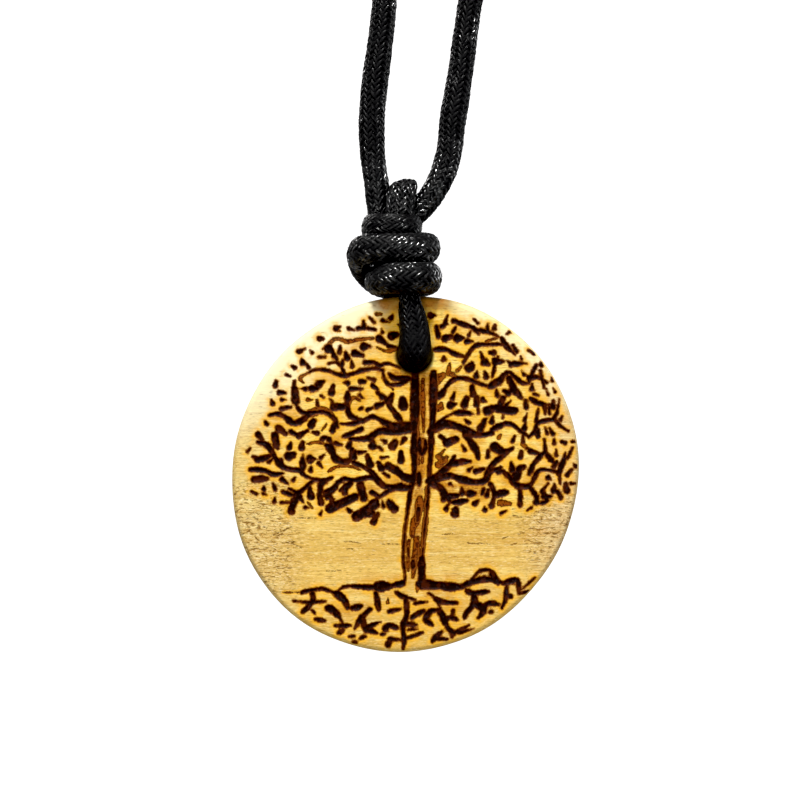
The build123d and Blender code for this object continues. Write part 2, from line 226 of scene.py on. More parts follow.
# The leaves, each a dab of the pen: across and up in squares, then its length, width and turn in degrees.
LEFT_LEAVES = [
    (-66, 146, 8, 6, 20), (-53, 144, 8, 4, -20), (-41, 150, 6, 4, 100), (-43, 145, 9, 4, 0),
    (-33, 144, 9, 4, -10), (-19, 152, 9, 4, -15), (-13, 157, 7, 5, 60), (-11, 138, 9, 8, 20),
    (-22, 132, 13, 7, -35), (-13, 127, 9, 4, -10), (-38, 127, 10, 8, 0), (-46, 119, 12, 7, -15),
    (-58, 118, 9, 6, 110), (-74, 123, 10, 9, -40), (-69, 116, 8, 5, -50), (-102, 113, 8, 6, 110),
    (-97, 108, 7, 4, 120), (-116, 98, 6, 3, -20), (-83, 91, 10, 8, 30), (-72, 85, 11, 7, 75),
    (-42, 92, 7, 6, 0), (-48, 85, 14, 5, 0), (-29, 86, 9, 5, -30), (-43, 77, 7, 3, -30),
    (-122, 81, 8, 5, -10), (-120, 74, 6, 4, 0), (-109, 79, 15, 8, 95), (-118, 66, 11, 5, 10),
    (-90, 85, 9, 7, 0), (-87, 71, 7, 3, 100), (-82, 77, 5, 3, -40), (-57, 79, 10, 7, 90),
    (-25, 79, 9, 5, 130), (-14, 76, 11, 7, 65), (-2, 71, 11, 9, 100), (-25, 69, 9, 6, 20),
    (-35, 65, 8, 4, 20), (-66, 67, 13, 8, 0), (-122, 43, 12, 7, -35), (-128, 35, 14, 7, 92),
    (-144, 37, 9, 6, -50), (-101, 41, 13, 6, 30), (-111, 41, 8, 5, -30), (-92, 51, 9, 7, 60),
    (-71, 47, 10, 6, 70), (-80, 36, 7, 5, 20), (-102, 29, 8, 6, 80), (-114, 29, 8, 6, 70),
    (-113, 19, 10, 9, 20), (-91, 15, 10, 9, 0), (-82, 18, 7, 4, 40), (-84, 9, 8, 4, -50),
    (-101, 14, 14, 6, 90), (-74, 32, 9, 5, -60), (-66, 30, 8, 4, -15), (-55, 30, 8, 6, 70),
    (-32, 31, 9, 8, 80), (-11, 30, 9, 8, 60), (-4, 18, 12, 7, 90), (-42, 22, 8, 4, 10),
    (-36, 14, 13, 7, 110), (-25, 9, 10, 7, 125), (-20, 17, 8, 3, 10), (-12, 7, 14, 7, -15),
    (-141, 16, 14, 6, 15), (-133, 14, 8, 4, 40), (-122, 12, 9, 4, 100), (-144, -5, 14, 6, 0),
    (-150, -18, 7, 3, -25), (-140, -13, 6, 5, 90), (-139, -20, 5, 3, -20), (-130, -12, 8, 4, 110),
    (-119, -7, 10, 5, -40), (-115, -19, 14, 4, -15), (-104, -24, 14, 8, -50), (-113, -33, 11, 7, 90),
    (-119, -28, 9, 3, 0), (-97, -33, 6, 4, 0), (-94, -17, 14, 7, 95), (-84, -24, 12, 6, 100),
    (-73, -16, 15, 8, 35), (-74, -24, 9, 4, -10), (-62, -28, 31, 9, 25), (-59, -14, 11, 6, 80),
    (-43, -17, 17, 7, 110), (-38, -36, 27, 9, 29), (-29, -20, 11, 5, -30), (-12, -30, 12, 8, 110),
    (-29, -43, 12, 6, 60), (-36, -41, 8, 4, 0), (-22, -29, 8, 4, 100), (-81, -9, 9, 4, 30),
    (-64, -8, 8, 4, 0), (-50, 20, 9, 5, 80),
]
RIGHT_LEAVES = [
    (28, 158, 8, 7, 0), (41, 154, 9, 4, 70), (39, 148, 8, 5, 30), (54, 151, 14, 5, -15),
    (32, 142, 12, 5, 100), (49, 144, 8, 3, 60), (64, 140, 6, 3, 70), (43, 136, 10, 7, 20),
    (55, 135, 10, 8, 0), (64, 132, 9, 5, 0), (76, 118, 9, 4, 110), (81, 110, 9, 8, -30),
    (94, 112, 12, 8, 0), (109, 125, 9, 4, 120), (115, 116, 5, 3, 110), (115, 110, 15, 6, 0),
    (117, 101, 7, 4, 120), (122, 97, 6, 5, 120), (71, 100, 8, 6, 80), (80, 99, 7, 5, 100),
    (65, 108, 10, 9, 60), (67, 83, 10, 6, 100), (48, 78, 8, 4, 70), (48, 69, 10, 8, 10),
    (60, 72, 10, 7, 70), (71, 73, 10, 6, 90), (79, 73, 7, 5, -30), (84, 64, 10, 9, 30), (91, 81, 8, 5, 100),
    (111, 80, 14, 7, -40), (96, 73, 9, 6, 70), (103, 71, 8, 4, 45), (94, 66, 9, 7, 0), (104, 64, 14, 8, -5),
    (97, 58, 5, 3, 90), (126, 87, 8, 5, 90), (130, 79, 6, 3, -20), (120, 70, 9, 5, 100),
    (141, 82, 8, 3, 110), (148, 84, 6, 3, 120), (147, 70, 9, 5, 90), (143, 65, 11, 3, 95),
    (120, 57, 9, 4, 70), (119, 49, 10, 6, 80), (155, 56, 6, 4, 60), (140, 44, 9, 4, 110),
    (145, 43, 9, 5, 120), (77, 49, 14, 6, 65), (117, 36, 9, 4, 90), (148, 33, 7, 4, 90),
    (128, 22, 10, 6, -15), (122, 26, 4, 3, 0), (115, 20, 8, 5, 80), (106, 8, 10, 6, 100),
    (92, 25, 13, 9, -35), (46, 33, 14, 8, 20), (74, 4, 11, 5, 15), (150, 22, 8, 4, 95),
    (144, 17, 9, 6, 110), (149, 10, 8, 5, 60), (164, 22, 12, 4, 65), (163, 2, 9, 5, 50), (67, -19, 9, 8, 0),
    (82, -18, 9, 5, 80), (96, -19, 14, 7, 10), (87, -28, 10, 6, 70), (114, -23, 17, 5, 92),
    (131, -25, 9, 6, 80), (141, -22, 10, 5, 0), (139, -13, 12, 4, 50), (148, -13, 10, 6, 80),
    (153, -20, 9, 5, 120), (160, -13, 10, 6, 100), (167, -9, 6, 3, 0), (51, -37, 9, 8, 60),
    (58, -27, 12, 6, 10), (42, -32, 8, 5, 60), (49, -21, 11, 6, 10), (94, 5, 8, 6, 60), (113, 2, 12, 8, 50),
    (37, -22, 9, 5, 110), (60, 14, 9, 4, 0), (102, 24, 9, 5, 30),
]
BROWN_LEAVES = [
    (44, 107, 9, 4, 80), (54, 105, 8, 4, 45), (47, 101, 8, 3, 0), (36, 97, 9, 6, 0), (35, 66, 8, 7, 0),
    (94, 38, 6, 4, 60), (36, 21, 12, 5, 50), (37, 13, 14, 6, 40), (-88, 60, 9, 4, 20), (-94, 74, 7, 4, 0),
    (-66, 143, 8, 5, -30), (-26, 159, 6, 4, 0), (-21, 17, 7, 3, 0), (99, -29, 13, 5, 0),
    (-17, -125, 6, 4, 90),
]
# Where the wood is only scorched, and beside the knot partly painted shadow: half width, strength, points.
SCORCHED = [
    (9, 0.9, (18, 100), (17, 40), (14, 0), (10, -50), (9, -108)), (8, 0.9, (-14, 99), (2, 100)),
    (8, 0.55, (28, 98), (40, 86)), (6, 0.5, (0, 86), (-2, 60)), (8, 0.7, (40, -10), (62, -14), (70, -18)),
    (6, 0.6, (40, 4), (60, 2)), (6, 0.6, (30, -14), (30, -26)), (6, 0.5, (56, 20), (68, 34)),
    (7, 0.5, (-40, -104), (-6, -104)), (6, 0.55, (20, -103), (60, -100)), (6, 0.7, (22, -118), (44, -120)),
    (6, 0.45, (-24, 122), (-8, 118)), (6, 0.5, (-44, 48), (-14, 52)), (6, 0.45, (-60, -36), (-74, -22)),
    (5, 0.5, (-24, -122), (-12, -120)), (5, 0.5, (96, 40), (110, 36)), (5, 0.4, (74, 134), (96, 132)),
    # On the next line, the last two rows, at the top rim beside the knot, are partly painted shadow of the
    # knot and partly wax stain.
    (5, 0.45, (-132, 56), (-120, 46)), (8, 0.85, (-24, 169), (-8, 168)), (7, 0.8, (22, 169), (36, 169)),
    (5, 1.0, (14, -12), (13.5, -24)), (7, 0.32, (92, -76), (137, -56)), (8, 0.55, (60, 88), (100, 84)),
    (8, 0.55, (60, 40), (92, 20)), (8, 0.5, (110, 60), (124, 70)), (8, 0.6, (-60, 40), (-90, 20)),
    (9, 0.6, (-30, 36), (-60, 24)), (8, 0.5, (-96, -6), (-60, -20)), (8, 0.5, (-60, 100), (-90, 90)),
    (9, 0.5, (-40, 76), (-60, 66)), (8, 0.5, (120, 0), (140, -8)), (8, 0.6, (-40, -132), (-64, -138)),
    (8, 0.5, (20, -134), (66, -130)), (5, 0.5, (-112, -16), (-96, -24)), (6, 0.4, (84, -116), (98, -122)),
    (4, 0.6, (98, -27), (104, -28)), (7, 1.3, (18, 100), (17, 40), (14, 0), (11, -54)),
    (12, 0.75, (2, 44), (-30, 44)), (12, 0.75, (0, -8), (-34, -16)), (12, 0.7, (30, 46), (70, 42)),
    (12, 0.85, (32, -10), (78, -18)), (10, 0.7, (2, 96), (-40, 106)), (10, 0.6, (36, 84), (80, 92)),
    (9, 0.6, (-20, 72), (-34, 62)), (9, 0.6, (52, 12), (84, 6)), (8, 0.6, (100, -6), (126, -8)),
    (9, 0.6, (-70, 20), (-66, 32)), (8, 0.6, (-100, 60), (-128, 58)), (9, 0.6, (-30, 126), (-54, 130)),
    (8, 0.55, (50, 146), (76, 140)),
]
# The crown's outline, inside which more leaves are drawn.
CROWN = [
    (-154, -4), (-156, 30), (-137, 66), (-126, 98), (-106, 122), (-84, 140), (-60, 151), (-20, 160),
    (30, 160), (60, 156), (92, 150), (112, 134), (136, 112), (156, 80), (168, 45), (171, 8), (164, -18),
    (140, -32), (100, -38), (62, -36), (30, -26), (0, -22), (-40, -42), (-80, -38), (-112, -38),
    (-132, -26),
]
PEN = 1.12  # how much fuller a line comes out than its charted half width
STROKE_WAVER = 0.13  # how much a line's width wavers
STROKE_TAPER = 0.45  # how much thinner it is at its end
STROKE_THIN_START = 0.2  # and at its start
LEAF_LONGER = 1.08
LEAF_WIDER = 1.08
LEAF_ENDS = 0.6  # how much of its width a leaf's round ends add to its length
LEAF_TIP = (0.10, 0.40)  # the narrow end's half width, as a share of the leaf's width
LEAF_TRIES = 6000  # how often a place for one more leaf is drawn
CROWN_ACROSS = (-160, 174)
CROWN_UP = (-44, 162)
TRUNK_ACROSS = (-2, 34)  # where the trunk stands, and no drawn leaf
TRUNK_TOP = 104
LEAF_ROOM = 8.6  # squares from one leaf to the next
LEAF_CLEAR = 4.1  # squares from a leaf's middle line to a bough
HOLE_CLEAR = 0.5
LEAF_LONG = (5, 9)
LEAF_WIDE = (3, 5.5)
LEAF_TURN = (90, 50)  # the middle of the drawn turns in degrees, and their spread
CLEAR_OF_MARKS = 2.0  # how far from every mark is as good as any further
GLOW_REACH = 2.5
TILE = 1.6  # the side of the squares in which distances are worked out together
TILE_CORNER = 0.71  # from a square's middle to its corner, as a share of its side
draw = random.Random(11)


def smooth_stroke(points):
    """More points along the smooth curve through a stroke's points."""
    knots = np.array([points[0], *points, points[-1]], dtype=float)
    if len(points) == 2:
        return np.linspace(knots[1], knots[2], 4)
    made = []
    for before, start, end, after in zip(knots, knots[1:], knots[2:], knots[3:]):
        for share in np.linspace(0, 1, 5)[:-1]:
            place = (
                2 * start + (end - before) * share + (2 * before - 5 * start + 4 * end - after) * share**2
                + (3 * start - before - 3 * end + after) * share**3
            )
            made.append(place / 2)
    return np.array([*made, knots[-1]])


def on_slice(squares):
    """A place on the chart as a place on the slice, in millimetres across and up from its middle."""
    lean = math.radians(CHART_LEAN)
    across, up = np.asarray(squares, dtype=float).T * SQUARE
    turned_across = across * math.cos(lean) - up * math.sin(lean)
    turned_up = up * math.cos(lean) + across * math.sin(lean)
    return np.stack([turned_across, turned_up], axis=-1)


def drawn(strokes):
    """Each stroke as places on the slice and half widths, which waver and thin out to the end."""
    made = []
    for half, *points in strokes:
        line = on_slice(smooth_stroke(points))
        share = np.linspace(0, 1, len(line))
        waver = np.sin(share * len(line) * draw.uniform(0.5, 1.1) + draw.uniform(0, 6.3))
        halves = half * PEN * SQUARE * (1 + STROKE_WAVER * waver) * (1 - STROKE_TAPER * share**3)
        start = 1 - STROKE_THIN_START + STROKE_THIN_START * np.minimum(1, 6 * share)
        made.append((line, halves * start))
    return made


def leaf(x, y, long, wide, turn):
    """One dab of the pen, blunt at one end and narrower at the other."""
    turn = math.radians(turn)
    wide = wide * LEAF_WIDER
    reach = (long * LEAF_LONGER - wide * LEAF_ENDS) / 2
    across, up = reach * math.cos(turn), reach * math.sin(turn)
    halves = np.array([wide / 2, wide * draw.uniform(*LEAF_TIP)])
    return on_slice([(x - across, y - up), (x + across, y + up)]), halves * SQUARE


def segment_gaps(spots, pieces):
    """How far each spot is outside each short piece of a stroke."""
    start, run, first, last = pieces
    off = spots[:, None] - start
    share = np.clip((off * run).sum(axis=-1) / np.maximum((run * run).sum(axis=-1), TINY), 0, 1)
    return np.linalg.norm(off - share[..., None] * run, axis=-1) - (first + (last - first) * share)


def outside(spots, strokes, most=CLEAR_OF_MARKS):
    """How far each spot is outside the edge of the nearest stroke, in millimetres, and less than 0 inside.
    Spots are taken a tile at a time, against only those pieces of strokes that come near the tile."""
    pieces = (
        np.concatenate([line[:-1] for line, halves in strokes]),
        np.concatenate([np.diff(line, axis=0) for line, halves in strokes]),
        np.concatenate([halves[:-1] for line, halves in strokes]),
        np.concatenate([halves[1:] for line, halves in strokes]),
    )
    nearest = np.full(len(spots), most)
    tiles = np.floor(spots / TILE)
    order = np.lexsort(tiles.T)
    breaks = np.flatnonzero(np.diff(tiles[order], axis=0).any(axis=1)) + 1
    for group in np.split(order, breaks):
        middle = (tiles[group[:1]] + 0.5) * TILE
        near = segment_gaps(middle, pieces)[0] < most + TILE_CORNER * TILE
        if near.any():
            gaps = segment_gaps(spots[group], [values[near] for values in pieces])
            nearest[group] = np.minimum(most, gaps.min(axis=1))
    return nearest


def inside_outline(spot, outline):
    """Whether a spot lies inside a closed outline."""
    crossed = False
    for (x0, y0), (x1, y1) in zip(outline, outline[1:] + outline[:1]):
        if (y0 > spot[1]) != (y1 > spot[1]) and spot[0] < x0 + (x1 - x0) * (spot[1] - y0) / (y1 - y0):
            crossed = not crossed
    return crossed


boughs = drawn(TRUNK + LEFT_BOUGHS + RIGHT_BOUGHS + ROOTS)
brown = drawn(BROWN_STROKES)
cracks = drawn(CRACKS)
leaves = [leaf(*row) for row in LEFT_LEAVES + RIGHT_LEAVES]
brown += [leaf(*row) for row in BROWN_LEAVES]
taken = [row[:2] for row in LEFT_LEAVES + RIGHT_LEAVES + BROWN_LEAVES]
hole_on_slice = hole_middle[[0, 2]] - disc_middle[[0, 2]]
for _ in range(LEAF_TRIES):
    spot = (draw.uniform(*CROWN_ACROSS), draw.uniform(*CROWN_UP))
    on_trunk = TRUNK_ACROSS[0] < spot[0] < TRUNK_ACROSS[1] and spot[1] < TRUNK_TOP
    if on_trunk or not inside_outline(spot, CROWN):
        continue
    if any(math.hypot(spot[0] - x, spot[1] - y) < LEAF_ROOM for x, y in taken):
        continue
    place = on_slice([spot])
    if np.linalg.norm(place[0] - hole_on_slice) < HOLE_EDGE + HOLE_CLEAR:
        continue
    dab = leaf(*spot, draw.uniform(*LEAF_LONG), draw.uniform(*LEAF_WIDE), draw.gauss(*LEAF_TURN))
    if outside(np.concatenate([dab[0], place]), boughs + brown).min() < LEAF_CLEAR * SQUARE:
        continue
    taken.append(spot)
    leaves.append(dab)


def oval_radius(angle):
    """The slice's radius in a direction, measured from across."""
    off = angle - math.radians(90 - DISC_LEAN)
    plain = 1 / np.hypot(np.cos(off) / (DISC_LONG / 2), np.sin(off) / (DISC_SHORT / 2))
    return plain + RIM_WAVER * np.sin(5 * angle + 1) + RIM_RIPPLE * np.sin(11 * angle)


def slice_face(cells, side, band):
    """One face of the slice with its rounded rim: a grid drawn out to the oval. Side is -1 in front, and
    band is how far the face runs on behind its rim."""
    bpy.ops.mesh.primitive_grid_add(x_subdivisions=cells, y_subdivisions=cells, size=2)
    face = bpy.context.object
    flat = np.empty(len(face.data.vertices) * 3)
    face.data.vertices.foreach_get("co", flat)
    right, up = flat.reshape(-1, 3)[:, :2].T
    wide = np.abs(right) >= np.abs(up)
    reach = np.where(wide, right, up)
    safe_right, safe_up = (np.where(values == 0, TINY, values) for values in (right, up))
    angle = np.where(wide, math.pi / 4 * up / safe_right, math.pi / 2 - math.pi / 4 * right / safe_up)
    x, z = reach * np.cos(angle), reach * np.sin(angle)
    far, toward = np.hypot(x, z), np.arctan2(z, x)
    if side == 1:
        toward = math.pi - toward
    level = oval_radius(toward) - RIM_REACH
    arc = (RIM_REACH + RIM_ROUND) / 2 * math.pi / 2
    run = far * (level + arc + band)
    bend = np.clip((run - level) / arc, 0, 1) * math.pi / 2
    plan = np.minimum(run, level) + RIM_REACH * np.sin(bend)
    depth = -HALF_T + RIM_ROUND * (1 - np.cos(bend)) + np.clip(run - level - arc, 0, None)
    place = np.stack([plan * np.cos(toward), -side * depth, plan * np.sin(toward)], axis=1) + disc_middle
    face.data.vertices.foreach_set("co", (place * MM).ravel())
    return face


def select_edges(edges_of, test):
    """Selects the edges of the mesh in edit mode whose two ends, in millimetres, pass the test."""
    shape = bmesh.from_edit_mesh(edges_of.data)
    bpy.ops.mesh.select_all(action="DESELECT")
    for edge in shape.edges:
        if edge.is_boundary or edge.is_wire:
            edge.select_set(all(test(np.array(end.co) / MM) for end in edge.verts))
    bmesh.update_edit_mesh(edges_of.data)


def hole_distance(spot):
    """How far a place is from the hole's middle line."""
    return math.hypot(spot[0] - hole_middle[0], spot[2] - hole_middle[2])


BAND = HALF_T - RIM_ROUND
BAND_SLACK = 0.05  # how far off its place an edge of the band is still found
FACE_SLACK = 0.01  # and an edge of a flat face
FRONT_GAP = 0.25  # how wide a ring round the hole is opened in each face, to be filled anew
BACK_GAP = 0.7
RING = 2  # how far from the hole the edges of that ring may lie
WELD = 0.002  # points nearer than this become one
back_face = slice_face(BACK_CELLS, 1, 0.0)
bpy.ops.object.select_all(action="DESELECT")
wood_slice = slice_face(FACE_CELLS, -1, BAND)
wood_slice.name = "wooden_slice"
wood_slice.data.name = "wooden_slice"
back_face.select_set(True)
bpy.ops.object.join()
bpy.ops.object.mode_set(mode="EDIT")
bpy.ops.mesh.select_mode(type="EDGE")
select_edges(wood_slice, lambda spot: abs(spot[1]) < BAND + BAND_SLACK)
bpy.ops.mesh.bridge_edge_loops()

shape = bmesh.from_edit_mesh(wood_slice.data)
bpy.ops.mesh.select_mode(type="FACE")
bpy.ops.mesh.select_all(action="DESELECT")
for face in shape.faces:
    middle = np.array(face.calc_center_median()) / MM
    face.select_set(hole_distance(middle) < HOLE_EDGE + (FRONT_GAP if middle[1] < 0 else BACK_GAP))
bmesh.update_edit_mesh(wood_slice.data)
bpy.ops.mesh.delete(type="FACE")
bpy.ops.mesh.select_mode(type="EDGE")
bpy.ops.mesh.select_all(action="DESELECT")
bpy.ops.mesh.primitive_circle_add(
    vertices=HOLE_SIDES, radius=HOLE_EDGE * MM, rotation=(math.pi / 2, 0, 0),
    location=tuple((hole_middle - [0, HALF_T, 0]) * MM),
)
profile = [
    (HOLE_EDGE - HOLE_ROUND * math.sin(bend), HOLE_ROUND * (1 - math.cos(bend)))
    for bend in np.linspace(0, math.pi / 2, 7)
]
profile += [(radius, 2 * HALF_T - depth) for radius, depth in reversed(profile)]
for (wide, near), (narrow, further) in zip(profile, profile[1:]):
    bpy.ops.mesh.extrude_region_move(TRANSFORM_OT_translate={"value": (0, (further - near) * MM, 0)})
    share = narrow / wide
    bpy.ops.transform.resize(value=(share, 1, share), center_override=tuple(hole_middle * MM))
for side in (-1, 1):
    select_edges(
        wood_slice,
        lambda spot: abs(spot[1] - side * HALF_T) < FACE_SLACK and hole_distance(spot) < HOLE_EDGE + RING,
    )
    bpy.ops.mesh.fill()
bpy.ops.mesh.select_all(action="SELECT")
bpy.ops.mesh.remove_doubles(threshold=WELD * MM)
bpy.ops.mesh.normals_make_consistent(inside=False)
bpy.ops.object.mode_set(mode="OBJECT")
bpy.ops.object.shade_smooth()

spots = np.empty(len(wood_slice.data.vertices) * 3)
wood_slice.data.vertices.foreach_get("co", spots)
spots = spots.reshape(-1, 3) / MM
chart = (spots - disc_middle)[:, [0, 2]]
front = spots[:, 1] < 0
over_rim = np.clip((spots[:, 1] + HALF_T - MARKS_END) / MARKS_FADE, 0, 1)
over_rim = np.where(front, over_rim, CLEAR_OF_MARKS)
burned, browned, cracked = (
    np.minimum(outside(chart, strokes) + over_rim, CLEAR_OF_MARKS)
    for strokes in (boughs + leaves, brown, cracks)
)
glow = np.zeros(len(spots))
for half, strength, *points in SCORCHED:
    line = on_slice(smooth_stroke(points))
    gap = outside(chart, [(line, np.zeros(len(line)))], most=GLOW_REACH)
    glow = np.maximum(glow, strength * np.exp(-((gap / (half * SQUARE)) ** 2)))
glow[~front] = 0
for name, values in (("burned", burned), ("browned", browned), ("cracked", cracked), ("glow", glow)):
    layer = wood_slice.data.attributes.new(name, "FLOAT", "POINT")
    layer.data.foreach_set("value", values.astype(np.float32))
sunk = np.clip((GROOVE_OUT - burned) / GROOVE_WALL, 0, 1)
sunk = sunk * sunk * (3 - 2 * sunk)
sunk_brown = np.clip((BROWN_OUT - browned) / BROWN_WALL, 0, 1) * BROWN_DEPTH
lip = LIP * np.exp(-(((burned - LIP_OUT) / LIP_WIDE) ** 2))
swell = SWELL * np.sin(chart[:, 0] / 3.1 + 1.3 * np.sin(chart[:, 1] / 4.3)) * np.sin(chart[:, 1] / 2.7 + 0.4)
from_rim = oval_radius(np.arctan2(chart[:, 1], chart[:, 0])) - np.hypot(*chart.T)
level = np.clip((from_rim - LEVEL_RIM) / LEVEL_FADE, 0, 1)
from_hole = np.hypot(*(spots - hole_middle)[:, [0, 2]].T) - HOLE_EDGE
away = np.clip(from_hole / HOLE_FADE, 0, 1)
spots[:, 1] += np.where(front, GROOVE * np.maximum(sunk, sunk_brown) - lip + swell * away, 0) * level
wood_slice.data.vertices.foreach_set("co", (spots * MM).ravel())
wood_slice.data.update()


class Nodes:
    """The shader nodes of one material."""

    def __init__(self, name):
        self.material = bpy.data.materials.new(name)
        self.material.use_nodes = True
        self.tree = self.material.node_tree
        self.tree.nodes.clear()

    def node(self, kind, settings=(), output=0, **sockets):
        """Adds a node and gives one of its outputs. A socket goes by its name, or by i and its number."""
        made = self.tree.nodes.new("ShaderNode" + kind)
        for key, value in dict(settings).items():
            setattr(made, key, value)
        for key, value in sockets.items():
            slot = int(key[1:]) if key[1:].isdigit() else key.replace("_", " ")
            self.set(made.inputs[slot], value)
        return Socket(self, made.outputs[output])

    def set(self, socket, value):
        if isinstance(value, Socket):
            self.tree.links.new(value.socket, socket)
        elif socket.type == "RGBA" and len(value) == 3:
            socket.default_value = (*value, 1.0)
        else:
            socket.default_value = value

    def places(self):
        """The places on the object, in metres."""
        return self.node("TexCoord", output=3)

    def bump(self, strength, distance, height):
        return self.node("Bump", Strength=strength, Distance=distance, Height=height)

    def surface(self, **sockets):
        """The material, with its one shader and what feeds it."""
        shader = self.node("BsdfPrincipled", **sockets)
        out = self.tree.nodes.new("ShaderNodeOutputMaterial")
        self.tree.links.new(shader.socket, out.inputs["Surface"])
        return self.material


class Socket:
    """An output of a shader node, so that shader maths reads as Python."""

    def __init__(self, nodes, socket):
        self.nodes = nodes
        self.socket = socket

    def maths(self, operation, first, second):
        return self.nodes.node("Math", {"operation": operation}, i0=first, i1=second)

    def __add__(self, other):
        return self.maths("ADD", self, other)

    def __radd__(self, other):
        return self.maths("ADD", other, self)

    def __sub__(self, other):
        return self.maths("SUBTRACT", self, other)

    def __rsub__(self, other):
        return self.maths("SUBTRACT", other, self)

    def __mul__(self, other):
        return self.maths("MULTIPLY", self, other)

    def __rmul__(self, other):
        return self.maths("MULTIPLY", other, self)

    def least(self, other):
        return self.maths("MINIMUM", self, other)

    def most(self, other):
        return self.maths("MAXIMUM", self, other)

    def ramp(self, low, high, from_value=0.0, to_value=1.0):
        """Smoothly from one value to the other, as this goes from low to high."""
        settings = {"interpolation_type": "SMOOTHSTEP"}
        return self.nodes.node("MapRange", settings, Value=self, i1=low, i2=high, i3=from_value, i4=to_value)

    def fall(self, low, high):
        """Smoothly from 1 down to 0, as this goes from low to high."""
        return self.ramp(low, high, 1.0, 0.0)

    def blend(self, first, second):
        """The first colour where this is 0, and the second where it is 1."""
        settings = {"data_type": "RGBA"}
        return self.nodes.node("Mix", settings, output=2, i0=self, i6=first, i7=second)

    def vector_maths(self, operation, other=(0.0, 0.0, 0.0), output=0):
        return self.nodes.node("VectorMath", {"operation": operation}, output=output, i0=self, i1=other)

    def along(self, axis):
        """One coordinate of these places: 0 is across, 1 towards the back and 2 up."""
        return self.nodes.node("SeparateXYZ", output=axis, Vector=self)

    def mapped(self, scale, turn=(0, 0, 0)):
        """These places, turned and scaled."""
        return self.nodes.node("Mapping", Vector=self, Rotation=turn, Scale=scale)

    def noise(self, scale, detail, rough=0.5, warp=0.0):
        """Soft noise over these places."""
        return self.nodes.node(
            "TexNoise", Vector=self, Scale=scale, Detail=detail, Roughness=rough, Distortion=warp,
        )


